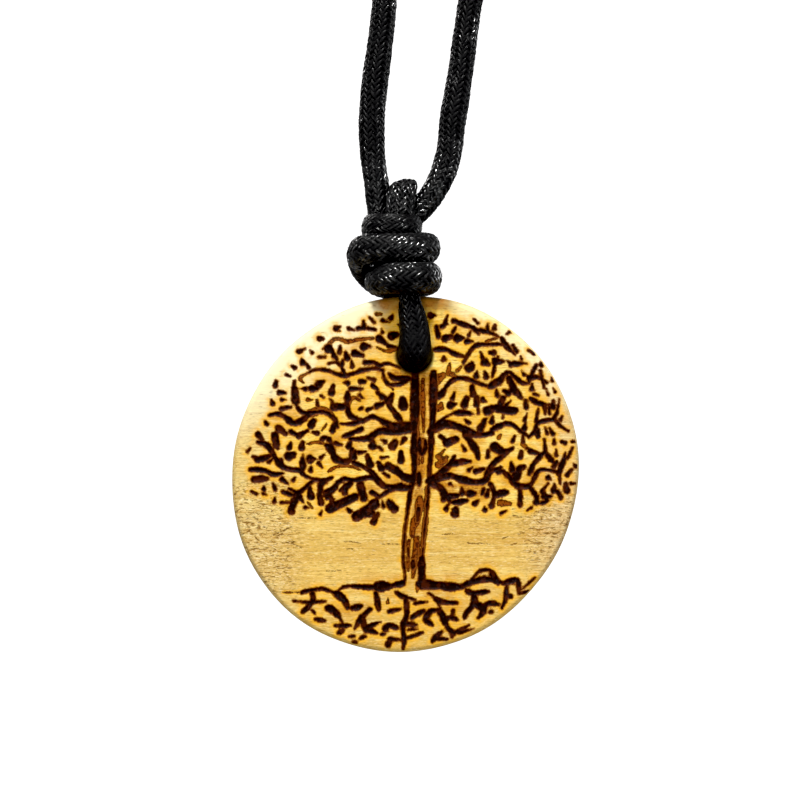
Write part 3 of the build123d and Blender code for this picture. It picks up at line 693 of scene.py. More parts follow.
def burned_wood():
    """Sanded pale wood, oiled, with fine level grain and pores, under the marks of the hot pen."""
    nodes = Nodes("burned_pale_wood")
    places = nodes.places()
    centred = places.vector_maths("SUBTRACT", tuple(disc_middle * MM))
    chart = centred.mapped((1 / MM,) * 3, turn=(0, math.radians(CHART_LEAN), 0))
    across = chart.along(0)
    height = chart.along(2)
    on_front = chart.along(1).fall(-1.9, 0.6)
    from_hole = places.vector_maths("SUBTRACT", tuple(hole_middle * MM))
    from_hole = from_hole.vector_maths("MULTIPLY", (1 / MM, 0.0, 1 / MM)).vector_maths("LENGTH", output=1)

    def grain(scale, detail=3.0, rough=0.6, warp=0.0):
        return chart.mapped(scale).noise(1.0, detail, rough, warp)

    def even_grain(scale, detail=2.0):
        return grain((scale,) * 3, detail)

    def mark(name):
        return nodes.node("Attribute", {"attribute_name": name}, output=2)

    # The bare wood: yellow in the crown, tan below and behind, greyer at both rims, with a painted highlight
    # that washes out the top rim.
    bands = grain((0.035, 0.3, 0.75), 4.0, 0.65, 0.3)
    streaks = grain((0.14, 1.2, 3.6), 3.0, 0.7)
    fine = grain((0.55, 3.0, 6.5), 2.0, 0.6)
    dashes = grain((1.8, 3.0, 7.0), 2.0, 0.6)
    blotches = grain((0.22, 0.22, 0.30), 3.0)
    colour = blotches.ramp(0.36, 0.64).blend((0.97, 0.73, 0.175), (0.93, 0.60, 0.105))
    lower = height.fall(-6.5, -3.0)
    tan = bands.ramp(0.36, 0.64).blend((0.82, 0.565, 0.155), (0.71, 0.45, 0.105))
    colour = (lower * on_front * 0.9).most(1 - on_front).blend(colour, tan)
    colour = (across.fall(-20.0, -12.0) * on_front * 0.75).blend(colour, (0.76, 0.57, 0.225))
    colour = (across.ramp(14.0, 21.0) * on_front * 0.75).blend(colour, (0.70, 0.515, 0.27))
    colour = (streaks.ramp(0.48, 0.68) * 0.40).blend(colour, (0.62, 0.33, 0.06))
    colour = (streaks.fall(0.32, 0.47) * 0.45).blend(colour, (0.97, 0.84, 0.40))
    colour = (fine.ramp(0.53, 0.66) * 0.50).blend(colour, (0.46, 0.235, 0.04))
    colour = (dashes.ramp(0.56, 0.68) * 0.55).blend(colour, (0.38, 0.20, 0.04))
    colour = (dashes.fall(0.30, 0.44) * 0.45).blend(colour, (0.99, 0.88, 0.50))
    # A painted highlight on the top rim, paler towards its top left and top right.
    painted_rim_highlight = (across * -0.55 + height * 0.83).ramp(13.5, 21.0) * across.fall(-4.0, -1.0)
    painted_rim_highlight = painted_rim_highlight.most((across * 0.62 + height * 0.78).ramp(18.5, 22.5) * across.ramp(3.0, 7.0) * 0.75)
    colour = (painted_rim_highlight * on_front * 0.85).blend(colour, (1.0, 0.96, 0.66))

    # Pores, and the rough, pitted wood near the rim at both sides.
    cells = chart.mapped((0.75, 2.0, 5.5))
    pore_gap = nodes.node("TexVoronoi", Vector=cells, Scale=1.0)
    pore_colour = nodes.node("TexVoronoi", output=1, Vector=cells, Scale=1.0)
    pore_pick = nodes.node("SeparateColor", i0=pore_colour)
    pores = pore_gap.fall(0.12, 0.26) * pore_pick.ramp(0.80, 0.86)
    rough_left = across.fall(-16.5, -12.0) * height.ramp(-17.0, -13.5) * height.fall(-2.5, 1.0)
    rough_right = across.ramp(13.5, 17.0) * height.ramp(-13.0, -9.5) * height.fall(-3.5, -1.5)
    rough_sides = rough_left.most(rough_right) * on_front
    specks = grain((0.95, 1.6, 3.0), 3.0, 0.6, 0.8)
    crackle = grain((2.0, 3.2, 6.0), 2.0, 0.6, 0.9)
    pitted = specks.ramp(0.52, 0.59).most(crackle.ramp(0.54, 0.61)) * rough_sides
    pits = specks.ramp(0.59, 0.63).most(crackle.ramp(0.61, 0.65)) * rough_sides
    colour = (pores * 0.55).blend(colour, (0.26, 0.12, 0.03))
    # Pale patches between the pits: painted highlights on their rough edges.
    colour = (crackle.fall(0.32, 0.44) * rough_sides * 0.6).blend(colour, (1.0, 0.91, 0.60))
    colour = (pitted * 0.40).blend(colour, (0.60, 0.30, 0.035))
    colour = (pits * 0.75).blend(colour, (0.13, 0.045, 0.006))

    # The knot's painted shadow with some wax stain beside the loop, the cracks, and the wood that is only
    # scorched.
    ragged = even_grain(3.0)
    wobble = (even_grain(1.1) - 0.5) * 0.34 + (ragged - 0.5) * 0.26 + (even_grain(9.0, 1.0) - 0.5) * 0.08
    heat = even_grain(0.5)
    edge = mark("burned") + wobble
    faint_edge = mark("browned") + wobble
    # Painted shadow of the knot on the top rim, partly wax stain.
    knot_shadow_and_stain = height.ramp(20.3, 22.6) * across.ramp(-5.2, -2.6) * across.fall(4.6, 8.0) * on_front
    colour = (knot_shadow_and_stain * heat.ramp(0.3, 0.6, 0.75, 0.95)).blend(colour, (0.17, 0.085, 0.022))
    split = (mark("cracked") + (ragged - 0.5) * 0.4).fall(-0.02, 0.06) * dashes.ramp(0.38, 0.50)
    colour = (split * 0.85).blend(colour, (0.13, 0.060, 0.012))
    halo = edge.fall(0.02, 0.90) * heat.ramp(0.38, 0.58, 0.12, 1.0)
    halo = halo.most(faint_edge.fall(0.0, 0.35) * 0.9)
    colour = (halo * 0.92 * streaks.ramp(0.35, 0.6, 0.75, 1.0)).blend(colour, (0.92, 0.47, 0.018))
    glow = mark("glow") * heat.ramp(0.30, 0.60, 0.35, 1.0)
    colour = (glow * streaks.ramp(0.35, 0.6, 0.55, 0.85)).least(0.9).blend(colour, (0.60, 0.235, 0.016))
    deep_scorch = glow.ramp(0.35, 0.90) * ragged.ramp(0.42, 0.60, 0.3, 1.0) * fine.ramp(0.36, 0.52, 0.5, 1.0)
    colour = (deep_scorch * 0.75).blend(colour, (0.27, 0.080, 0.008))

    # The brown marks, the black ones with their char and its painted sheen, and painted shade round the
    # inside of the hole.
    faint = faint_edge.fall(-0.03, 0.10) * heat.ramp(0.35, 0.6, 0.95, 1.0)
    outline = faint_edge.ramp(-0.18, -0.03).most(ragged.ramp(0.47, 0.58))
    colour = faint.blend(colour, outline.blend((0.25, 0.058, 0.004), (0.060, 0.008, 0.002)))
    colour = (edge.fall(0.02, 0.20) * 0.9).blend(colour, (0.26, 0.075, 0.008))
    colour = edge.fall(-0.06, 0.08).blend(colour, (0.072, 0.011, 0.002))
    char = edge.fall(-0.15, -0.02)
    ash = even_grain(5.0)
    black = even_grain(0.9, 3.0).ramp(0.50, 0.64).blend((0.0095, 0.0025, 0.0014), (0.058, 0.010, 0.003))
    # Purple-grey patches in the char: a painted sheen.
    black = (even_grain(2.2).ramp(0.58, 0.70) * 0.6).blend(black, (0.034, 0.019, 0.021))
    colour = char.blend(colour, black)
    # Painted shade round the inside of the hole.
    painted_hole_shade = from_hole.ramp(HOLE_R + 0.1, HOLE_EDGE + 0.15, 0.9, 0.0)
    colour = painted_hole_shade.blend(colour, (0.030, 0.011, 0.004))

    rough = streaks.ramp(0.3, 0.7, 0.42, 0.54) * (1 - char) + char * ash.ramp(0.35, 0.65, 0.30, 0.55)
    relief = (streaks * 0.35 + fine * 0.30 + dashes * 0.30) * (1 - char)
    relief = relief - pores * 0.7 - pits * 0.5 - split * 0.5 + ash * char
    bump = nodes.bump(0.8, 0.00012, relief)
    return nodes.surface(Base_Color=colour, Roughness=rough, Normal=bump, Specular_IOR_Level=0.05)


wood_slice.data.materials.append(burned_wood())
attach(wood_slice, "root")
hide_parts("wood_disc")

# The two strands: round braided cotton cord, waxed black, of small yarns that run both ways
# round it, over two and under two. They leave the knot close together, hang apart in a loop
# of about 45 cm, and end inside the clasp at the nape.
CORD_D = 3.0
YARNS_EACH_WAY = 16
YARN_HALF_THICK = 0.15
YARN_RISE = 0.09  # how far a yarn moves out where it passes over the others, and in where under
YARN_MARKS_APART = 37.0  # how far each yarn's pattern is moved on from the last one's
YARN_FULLNESS = 1.2  # how much wider than its share of the way round a waxed yarn is
BRAID_PITCH = 12.5  # the length in which a yarn goes once round the cord
WAX_FULLER = 0.45  # how much wider still it is where wax fills the braid
BRAID_FULLER = 1.09  # a braid's width as a share of its plain tube's
KNOT_FULLER = 0.09  # and how much more it swells where it is handled, above the knot
FULLEST_AT = 15  # how far along a strand that is
FULL_WITHIN = 14
CORE_INSET = 0.3  # how deep under a cord's surface its plain filling ends
CORE_SIDES = 10
STRAND_FIBRES = 240
FIBRE_LONG = (0.25, 0.85)
FIBRE_THIN = (0.024, 0.008)  # a fibre's half width at its root and at its tip
FIBRE_ROOT = 0.2  # how deep in the cord it starts
FIBRE_RINGS = 5
POLISHED = (-2.6, -2.6, -151.6)  # where the knot is handled most
CLASP_Z = 2.8
CORD_END_X = 3.1
LEFT_POINTS = [
    (-4.95, 0, -154.6), (-5.3, 0, -152.7), (-5.7, 0, -150.2), (-6.45, 0, -146.6), (-6.85, 0, -142.0),
    (-6.65, 0, -137.0), (-6.05, 0, -130.5), (-5.8, 0, -123.0), (-8.2, 0, -112.5), (-17.0, 0, -98.5),
    (-34.0, 0, -83.0), (-53.0, 0, -66.5), (-66.0, 0, -45.5), (-66.5, 0, -22.5), (-52.0, 0, -5.5),
    (-30.0, 0, 1.6), (-13.0, 0, CLASP_Z), (-CORD_END_X, 0, CLASP_Z),
]
RIGHT_POINTS = [
    (-1.4, 0, -154.6), (-0.55, 0, -154.0), (0.65, 0, -152.75), (1.75, 0, -151.05), (2.65, 0, -149.2),
    (3.3, 0, -147.2), (3.68, 0, -144.8), (3.75, 0, -141.7), (4.35, 0, -137.0), (4.8, 0, -131.5),
    (5.35, 0, -124.5), (7.6, 0, -114.5), (15.5, 0, -100.0), (32.0, 0, -83.5), (51.5, 0, -67.0),
    (65.0, 0, -46.5), (67.0, 0, -23.5), (53.0, 0, -6.0), (30.5, 0, 1.5), (13.0, 0, CLASP_Z),
    (CORD_END_X, 0, CLASP_Z),
]


def waxed_cord():
    """Black cotton under a thin coat of wax: nearly black, with fibres along each yarn. The wax shines
    where it lies thick, most of all near the knot, and is rubbed dull behind, against the wearer."""
    nodes = Nodes("waxed_black_cord")
    along_yarn = nodes.node("UVMap", {"uv_map": "yarn"})
    fibres = along_yarn.mapped((1.1, 9.0, 1.0)).noise(2.2, 3.0, 0.6)
    places = nodes.places()
    height = places.along(2)
    unrubbed = places.along(1).ramp(-0.0005, 0.0040, 1.0, 0.12)
    smears = places.noise(420.0, 3.0)
    lumps = places.noise(1500.0, 2.0)
    dust = places.noise(2600.0, 2.0)
    wear = smears.ramp(0.45, 0.75) * fibres.ramp(0.4, 0.7)
    colour = wear.blend((0.0024, 0.0023, 0.0028), (0.0105, 0.0098, 0.0108))
    colour = dust.ramp(0.70, 0.78).blend(colour, (0.05, 0.046, 0.046))
    handled = height.ramp(-0.1660, -0.1620) * height.fall(-0.1500, -0.1430)
    to_bight = places.vector_maths("DISTANCE", tuple(x * MM for x in POLISHED), output=1)
    polished = to_bight.fall(0.0016, 0.0042)
    tucked = height.ramp(-0.1577, -0.1568) * height.fall(-0.1547, -0.1538)
    wax = smears.ramp(0.56, 0.66).most(handled * smears.ramp(0.42, 0.54)).most(polished)
    wax = wax * lumps.ramp(0.42, 0.56, 0.10, 1.0) * (1 - tucked * 0.8) * unrubbed
    rough = smears.ramp(0.36, 0.62, 0.56, 0.30) + fibres.ramp(0.35, 0.75, -0.04, 0.10) - polished * 0.12
    bump = nodes.bump(0.7, 0.00007, fibres * 0.7 + lumps * 0.8)
    return nodes.surface(
        Base_Color=colour, Roughness=rough, Normal=bump, Specular_IOR_Level=0.12, Coat_Weight=wax,
        Coat_Roughness=0.11, Coat_IOR=1.5,
    )


cord_material = waxed_cord()


def smooth_line(points):
    """The points of the smooth line of a cord along its route's points."""
    curve = bpy.data.curves.new("route", "CURVE")
    curve.dimensions = "3D"
    curve.resolution_u = 32
    spline = curve.splines.new("NURBS")
    spline.points.add(len(points) - 1)
    for control, place in zip(spline.points, points):
        control.co = (*place, 1.0)
    spline.order_u = 3
    spline.use_endpoint_u = True
    holder = bpy.data.objects.new("route", curve)
    made = bpy.data.meshes.new_from_object(holder)
    line = np.array([vertex.co for vertex in made.vertices])
    bpy.data.meshes.remove(made)
    bpy.data.objects.remove(holder)
    bpy.data.curves.remove(curve)
    return line


def travelled(line):
    """How far along a line each of its points is."""
    return np.concatenate([[0.0], np.cumsum(np.linalg.norm(np.diff(line, axis=0), axis=1))])


def shares(line):
    """The same as shares of the line's length."""
    return travelled(line) / travelled(line)[-1]


def evenly(line, step):
    """The same line with its points step apart, as nearly as its length allows."""
    places = np.linspace(0.0, 1.0, max(3, round(travelled(line)[-1] / step) + 1))
    return np.stack([np.interp(places, shares(line), line[:, axis]) for axis in range(3)], axis=1)


def unit(vectors):
    """The same directions, each of length 1."""
    return vectors / np.maximum(np.linalg.norm(vectors, axis=-1, keepdims=True), 1e-12)


def yarn_tubes(paths, outward, half_wide, half_thick, sides):
    """Closed tubes, one along each path, flattened towards outward: points, faces, and corner marks."""
    count, rings = paths.shape[:2]
    ahead = unit(np.gradient(paths, axis=1))
    across = unit(np.cross(ahead, outward))
    lift = np.cross(across, ahead)
    turn = 2 * math.pi * (np.arange(sides) + 0.5) / sides
    spread = np.cos(turn) * np.broadcast_to(half_wide, (count, rings))[..., None]
    rise = np.sin(turn) * np.broadcast_to(half_thick, (count, rings))[..., None]
    skin = paths[:, :, None] + spread[..., None] * across[:, :, None] + rise[..., None] * lift[:, :, None]
    number = np.arange(count * rings * sides).reshape(count, rings, sides)
    beside = np.roll(number, -1, axis=2)
    quads = np.stack([number[:, :-1], number[:, 1:], beside[:, 1:], beside[:, :-1]], axis=-1).reshape(-1, 4)
    steps = np.linalg.norm(np.diff(paths, axis=1), axis=2)
    far = np.concatenate([np.zeros((count, 1)), np.cumsum(steps, axis=1)], axis=1)
    far = far + YARN_MARKS_APART * np.arange(count)[:, None]
    start = np.broadcast_to(far[:, :-1, None], (count, rings - 1, sides))
    end = np.broadcast_to(far[:, 1:, None], (count, rings - 1, sides))
    low = np.broadcast_to(np.arange(sides) / sides, start.shape)
    high = low + 1 / sides
    marks = np.stack([start, low, end, low, end, high, start, high], axis=-1).reshape(-1, 2)
    caps = [list(ring) for ring in number[:, 0]] + [list(ring) for ring in number[:, -1, ::-1]]
    cap_marks = np.zeros((len(caps) * sides, 2))
    return skin.reshape(-1, 3), quads.tolist() + caps, np.concatenate([marks, cap_marks])


def cord_piece(name, batches):
    """One object of waxed cord, of several batches of tubes that are given in millimetres."""
    points, faces, marks, first = [], [], [], 0
    for skin, batch_faces, batch_marks in batches:
        points.append(skin * MM)
        faces += [[corner + first for corner in face] for face in batch_faces]
        marks.append(batch_marks)
        first += len(skin)
    mesh = bpy.data.meshes.new(name)
    mesh.from_pydata(np.concatenate(points).tolist(), [], faces)
    yarn_marks = mesh.uv_layers.new(name="yarn")
    yarn_marks.uv.foreach_set("vector", np.concatenate(marks).astype(np.float32).ravel())
    mesh.polygons.foreach_set("use_smooth", [len(face) == 4 for face in faces])
    mesh.materials.append(cord_material)
    mesh.update()
    piece = bpy.data.objects.new(name, mesh)
    bpy.context.collection.objects.link(piece)
    return piece


def braid(line, level, half_out, half_across, seed, sides=5, lag=0.0, relief=1.0):
    """The yarns of a braided cord round a line. Level is a direction that the line never takes:
    half_across is the cord's half width towards it, and half_out its half width square to it. Lag is
    where in its pitch it starts, and relief how far wax leaves the yarns standing out."""
    draw = random.Random(seed)
    ahead = unit(np.gradient(line, axis=0))
    out = unit(np.cross(ahead, level))
    side = np.cross(out, ahead)
    far = lag + travelled(line)
    inset = YARN_HALF_THICK + YARN_RISE
    half_out = np.broadcast_to(half_out, far.shape)
    half_across = np.broadcast_to(half_across, far.shape)
    middle = (half_out + half_across) / 2 - inset
    slant = np.cos(np.arctan(2 * math.pi * middle / BRAID_PITCH))
    fullness = YARN_FULLNESS + WAX_FULLER * (1 - relief)
    crossings = 2 * YARNS_EACH_WAY * far / BRAID_PITCH
    twist = 0.22 * np.sin(far / 6.1 + seed) + 0.12 * np.sin(far / 2.3 + 2 * seed)
    paths, outward, half_wide, half_thick = [], [], [], []
    for way, first_over in ((1, 0.5), (-1, 2.5)):
        for yarn in range(YARNS_EACH_WAY):
            drift = 0.10 * np.sin(far / draw.uniform(1.6, 4.0) + draw.uniform(0, 6.3))
            start = 2 * math.pi * (yarn + drift) / YARNS_EACH_WAY
            angle = twist + way * 2 * math.pi * far / BRAID_PITCH + start
            wave = np.cos(math.pi / 2 * (2 * yarn + way * crossings - first_over))
            wave = np.sign(wave) * np.abs(wave) ** 0.7
            facing = unit(
                (np.cos(angle) / half_out)[:, None] * out + (np.sin(angle) / half_across)[:, None] * side
            )
            fuller = 1 + 0.15 * np.sin(far / draw.uniform(0.9, 2.6) + draw.uniform(0, 6.3))
            slack = 0.03 * np.sin(far / draw.uniform(0.8, 2.2) + draw.uniform(0, 6.3))
            deep = (YARN_RISE * wave + slack) * relief - inset
            paths.append(
                line + (np.cos(angle) * half_out)[:, None] * out
                + (np.sin(angle) * half_across)[:, None] * side + deep[:, None] * facing
            )
            outward.append(facing)
            half_wide.append(fuller * fullness * math.pi * middle / YARNS_EACH_WAY * slant)
            half_thick.append(YARN_HALF_THICK * (0.5 + 0.5 * fuller) * np.minimum(1, middle))
    return yarn_tubes(np.array(paths), np.array(outward), np.array(half_wide), np.array(half_thick), sides)


def cord_core(line, level, half_out, half_across):
    """A plain tube that fills a cord under its yarns."""
    rings = np.unique([*range(0, len(line), 3), len(line) - 1])
    out = unit(np.cross(unit(np.gradient(line, axis=0)), level))
    half_out, half_across = (
        np.broadcast_to(half, len(line))[rings] - CORE_INSET for half in (half_out, half_across)
    )
    return yarn_tubes(line[rings][None], out[rings][None], half_across[None], half_out[None], CORE_SIDES)


def stray_fibres(line, half, count, seed):
    """Short fibres that stand out of the cord, as they do on worn cotton."""
    draw = random.Random(seed)
    ahead = unit(np.gradient(line, axis=0))
    half = np.broadcast_to(half, len(line))
    paths, outward = [], []
    for _ in range(count):
        root = draw.randrange(5, len(line) - 5)
        way = ahead[root]
        around = unit(np.array([draw.gauss(0, 1) for _ in range(3)]))
        facing = unit(around - way * (around @ way))
        lean = facing + way * draw.uniform(-1.6, 1.6)
        lean = unit(lean + np.cross(way, facing) * draw.uniform(-1, 1))
        long = draw.uniform(*FIBRE_LONG)
        reach = np.linspace(0, 1, FIBRE_RINGS)[:, None]
        curl = np.cross(lean, way) * draw.uniform(-0.35, 0.35)
        start = line[root] + facing * (half[root] - FIBRE_ROOT)
        paths.append(start + long * (reach * lean + reach**2 * curl))
        outward.append(np.broadcast_to(facing, (FIBRE_RINGS, 3)))
    thin = np.linspace(*FIBRE_THIN, FIBRE_RINGS)
    return yarn_tubes(np.array(paths), np.array(outward), thin, thin, 3)


STRAND_STEP = 0.39
ACROSS_PLANE = np.array([0.0, 1.0, 0.0])
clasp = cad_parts["clasp"]
for node, points, seed in (("cord_left", LEFT_POINTS, 3), ("cord_right", RIGHT_POINTS, 4)):
    line = evenly(smooth_line(points), STRAND_STEP)
    far = travelled(line)
    half = CORD_D / 2 * (BRAID_FULLER + KNOT_FULLER * np.exp(-(((far - FULLEST_AT) / FULL_WITHIN) ** 2)))
    half = half * (1 + 0.018 * np.sin(far / 3.7 + seed) + 0.012 * np.sin(far / 1.3 + 2 * seed))
    strand = cord_piece(
        node + "_braid",
        [
            braid(line, ACROSS_PLANE, half, half, seed),
            cord_core(line, ACROSS_PLANE, half, half),
            stray_fibres(line, half, STRAND_FIBRES, seed),
        ],
    )
    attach(strand, "root")
    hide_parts(node)

# The loop that carries the slice: a stretch of the same cord, pulled a little thinner, which comes
# down out of the knot in front, goes through the hole and runs back up behind into the knot.
LOOP_STEP = 0.3
# Each row: across, forward and up, then the cord's width across and its thickness there.
LOOP_ROUTE = [
    (-1.45, 0, -154.7, 2.6, 2.6), (-2.1, 0, -156.15, 2.6, 2.6), (-1.45, -0.9, -158.82, 2.6, 2.6),
    (-0.9, -2.0, -162.69, 2.6, 2.6), (-0.65, -3.60, -165.2, 2.8, 2.6), (-0.2, -3.75, -167.3, 3.7, 2.7),
    (0.3, -3.75, -169.4, 4.1, 2.7), (0.42, -3.6, -171.6, 4.5, 3.0), (0.4, -1.9, -172.75, 4.62, 4.3),
    (0.4, 0.0, -172.45, 4.66, 4.66), (0.4, 1.9, -172.75, 4.6, 4.3), (0.35, 3.6, -171.6, 4.1, 2.9),
    (-0.4, 3.75, -169.4, 3.3, 2.7), (-1.7, 3.75, -167.3, 3.0, 2.6), (-2.75, 3.60, -165.2, 2.8, 2.6),
    (-2.9, 2.0, -162.69, 2.6, 2.6), (-4.45, 0.9, -158.82, 2.6, 2.6), (-4.64, 0, -156.27, 2.6, 2.6),
    (-4.93, 0, -154.7, 2.6, 2.6),
]
ACROSS_LOOP = np.array([1.0, 0.0, 0.0])
LOOP_LAG = 2.0
LOOP_FIBRES = 50
BARE_RINGS = 60  # how many of its rings, from the start, still have fibres
SMOOTH_BELOW = -166.5  # where the wax starts to fill its braid, and in what length it has
SMOOTH_WITHIN = 3.5
SMOOTHED = 0.85
# The cord that is hidden inside the knot, as one plain filling from low to high.
FILLING_X = -2.95
FILLING_LOW = -160.8
FILLING_HIGH = -154.9
FILLING_HALF_DEEP = 2.9
FILLING_HALF_WIDE = 3.4
inside_knot = np.linspace((FILLING_X, 0.0, FILLING_LOW), (FILLING_X, 0.0, FILLING_HIGH), 13)
rough_line = smooth_line([row[:3] for row in LOOP_ROUTE])
rough_sizes = smooth_line([(*row[3:], 0.0) for row in LOOP_ROUTE])
line = evenly(rough_line, LOOP_STEP)
places = np.linspace(0.0, 1.0, len(line))
loop_wide, loop_thick = (np.interp(places, shares(rough_line), rough_sizes[:, column]) for column in (0, 1))
waxed_over = 1 - SMOOTHED * np.clip((SMOOTH_BELOW - line[:, 2]) / SMOOTH_WITHIN, 0, 1)
hanging_loop = cord_piece(
    "hanging_loop_braid",
    [
        braid(line, ACROSS_LOOP, loop_thick / 2, loop_wide / 2, seed=5, lag=LOOP_LAG, relief=waxed_over),
        cord_core(line, ACROSS_LOOP, loop_thick / 2, loop_wide / 2),
        cord_core(inside_knot, ACROSS_LOOP, FILLING_HALF_DEEP, FILLING_HALF_WIDE),
        stray_fibres(line[:BARE_RINGS], 1.4, LOOP_FIBRES, 5),
    ],
)
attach(hanging_loop, "root")
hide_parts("hanging_loop")

# The knot: the cord wound round both legs of the loop, tight and pressed a little oval, up from the
# slice's rim: one turn, a wider one, and a small flat one at the top. The turns climb at the back.
KNOT_STEP = 0.3
KNOT_SQUARENESS = 2.4
TURN_FIBRES = 60
# Each row: the angle from the front, the turn's middle across, its half width across and half depth, its
# height, and then the cord's own height and thickness.
WINDING = [
    (-150, -1.55, 2.6, 3.0, -163.30, 1.8, 1.6), (-125, -1.55, 3.3, 4.2, -163.20, 2.8, 2.4),
    (-100, -1.55, 3.6, 4.8, -163.05, 3.9, 3.1), (0, -1.55, 3.6, 4.9, -162.60, 4.3, 3.1),
    (90, -1.55, 3.6, 4.9, -162.15, 4.2, 3.1), (150, -1.8, 3.7, 5.2, -162.80, 3.9, 3.0),
    (185, -2.3, 4.2, 5.6, -163.35, 4.2, 3.0), (205, -2.6, 4.4, 5.4, -162.80, 4.5, 3.0),
    (225, -2.9, 4.6, 4.9, -161.85, 4.1, 3.1), (245, -2.95, 4.65, 4.3, -160.75, 3.9, 3.2),
    (270, -2.95, 4.6, 3.95, -159.60, 4.0, 3.3), (300, -2.95, 4.55, 3.95, -159.00, 4.1, 3.3),
    (360, -2.95, 4.55, 3.95, -158.82, 4.2, 3.3), (450, -2.95, 4.55, 3.95, -158.36, 4.1, 3.3),
    (540, -3.15, 4.0, 4.3, -157.10, 3.2, 2.2), (630, -3.35, 3.3, 4.1, -155.90, 3.0, 1.5),
    (720, -3.35, 3.3, 4.1, -155.75, 3.0, 1.5), (810, -3.35, 3.3, 4.1, -155.60, 3.0, 1.5),
    (885, -3.35, 3.1, 3.8, -155.50, 0.9, 0.8),
]
SPLITS = (180, 540)  # where one turn becomes the next, behind
EASED = 25  # degrees to each side over which the rows run into each other
FINE_STEPS = 6000


def wound(angle):
    """Where the cord's middle line is at an angle of the winding, with its height and thickness."""
    marks, *columns = zip(*WINDING)
    spread = np.linspace(-EASED, EASED, 11)
    middle, wide, deep, height, high, thick = (
        np.mean([np.interp(angle + off, marks, column) for off in spread], axis=0) for column in columns
    )
    turn = np.radians(angle)
    round_off = 2 / KNOT_SQUARENESS
    x = middle + wide * np.sign(np.sin(turn)) * np.abs(np.sin(turn)) ** round_off
    y = -deep * np.sign(np.cos(turn)) * np.abs(np.cos(turn)) ** round_off
    return np.stack([x, y, height], axis=1), high, thick


fine_angles = np.linspace(WINDING[0][0], WINDING[-1][0], FINE_STEPS)
fine_line = wound(fine_angles)[0]
run = travelled(fine_line)
# Each turn's name and node, and how far its yarns still stand out where it is pressed smooth.
KNOT_TURNS = (
    ("lower_turn", "lower_wrap", 0.65),
    ("upper_turn", "upper_wrap", 0.7),
    ("collar_turn", "collar_wrap", 0.4),
)
split_at = [0.0, *np.interp(SPLITS, fine_angles, run), run[-1]]
UPRIGHT = np.array([0.0, 0.0, 1.0])
for (name, node, pressed), start, end in zip(KNOT_TURNS, split_at, split_at[1:]):
    places = np.linspace(start, end, round((end - start) / KNOT_STEP) + 1)
    line, high, thick = wound(np.interp(places, run, fine_angles))
    turn = cord_piece(
        name,
        [
            braid(line, UPRIGHT, thick / 2, high / 2, seed=6, sides=6, lag=start, relief=pressed),
            cord_core(line, UPRIGHT, thick / 2, high / 2),
            stray_fibres(line, thick / 2 + 0.15, TURN_FIBRES, 7),
        ],
    )
    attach(turn, "root")
    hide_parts(node)

# The bight: the cord's turn-back, which stands up out of the knot between the two strands. It is
# pulled flat and slants down to the left.
BIGHT_HALF_WIDE = 1.95
BIGHT_HALF_THICK = 1.05
BIGHT_REACH = 2.5
BIGHT_STEP = 0.25
BIGHT_FIBRES = 40
BIGHT_POINTS = [
    (-2.5, -BIGHT_REACH, -156.3), (-2.5, -BIGHT_REACH, -154.6), (-2.45, -BIGHT_REACH, -152.9),
    (-2.35, -2.3, -151.4), (-2.2, -0.9, -150.45), (-2.2, 0.9, -150.45), (-2.35, 2.3, -151.4),
    (-2.45, BIGHT_REACH, -152.9), (-2.5, BIGHT_REACH, -154.6), (-2.5, BIGHT_REACH, -156.3),
]
BIGHT_ACROSS = np.array([1.0, 0.0, 0.30])
line = evenly(smooth_line(BIGHT_POINTS), BIGHT_STEP)
bight = cord_piece(
    "bight_braid",
    [
        braid(line, unit(BIGHT_ACROSS), BIGHT_HALF_THICK, BIGHT_HALF_WIDE, seed=8),
        cord_core(line, BIGHT_ACROSS, BIGHT_HALF_THICK, BIGHT_HALF_WIDE),
        stray_fibres(line, 1.1, BIGHT_FIBRES, 9),
    ],
)
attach(bight, "root")
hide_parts("top_bight")

# The clasp: a plain turned barrel of satin steel at the nape, which the two strands' ends are glued into.
# It keeps its solid's own shape, and only gets its finish here.


def turned_steel():
    """Satin steel with the fine lines that turning leaves round it, and a few dull smears."""
    nodes = Nodes("satin_turned_steel")
    places = nodes.places()
    lines = places.mapped((9000.0, 160.0, 160.0)).noise(1.0, 3.0, 0.7)
    smears = places.noise(350.0, 3.0)
    colour = smears.ramp(0.35, 0.70).blend((0.78, 0.77, 0.755), (0.66, 0.645, 0.62))
    rough = smears.ramp(0.30, 0.75, 0.22, 0.36) + lines.ramp(0.3, 0.7, 0.0, 0.08)
    bump = nodes.bump(0.35, 0.00002, lines)
    return nodes.surface(Base_Color=colour, Metallic=1.0, Roughness=rough, Normal=bump)


steel = turned_steel()
for place in clasp.material_slots:
    place.material = steel

# The camera, level and square to the front of the slice, rolled a little as the photo is.
VIEW_WIDE = 104.8
LENS = 100.0
SENSOR = 36.0
AIM = (-1.16, -178.35)
ROLL = 3.0
camera_data = bpy.data.cameras.new("camera")
camera_data.lens = LENS
camera_data.sensor_width = SENSOR
camera_data.clip_start = 0.01
camera = bpy.data.objects.new("camera", camera_data)
bpy.context.collection.objects.link(camera)
AWAY = VIEW_WIDE * LENS / SENSOR
camera.matrix_world = (
    Matrix.Translation((AIM[0] * MM, -AWAY * MM, AIM[1] * MM))
    @ Matrix.Rotation(math.radians(90), 4, "X")
    @ Matrix.Rotation(math.radians(ROLL), 4, "Z")
)
bpy.context.scene.camera = camera

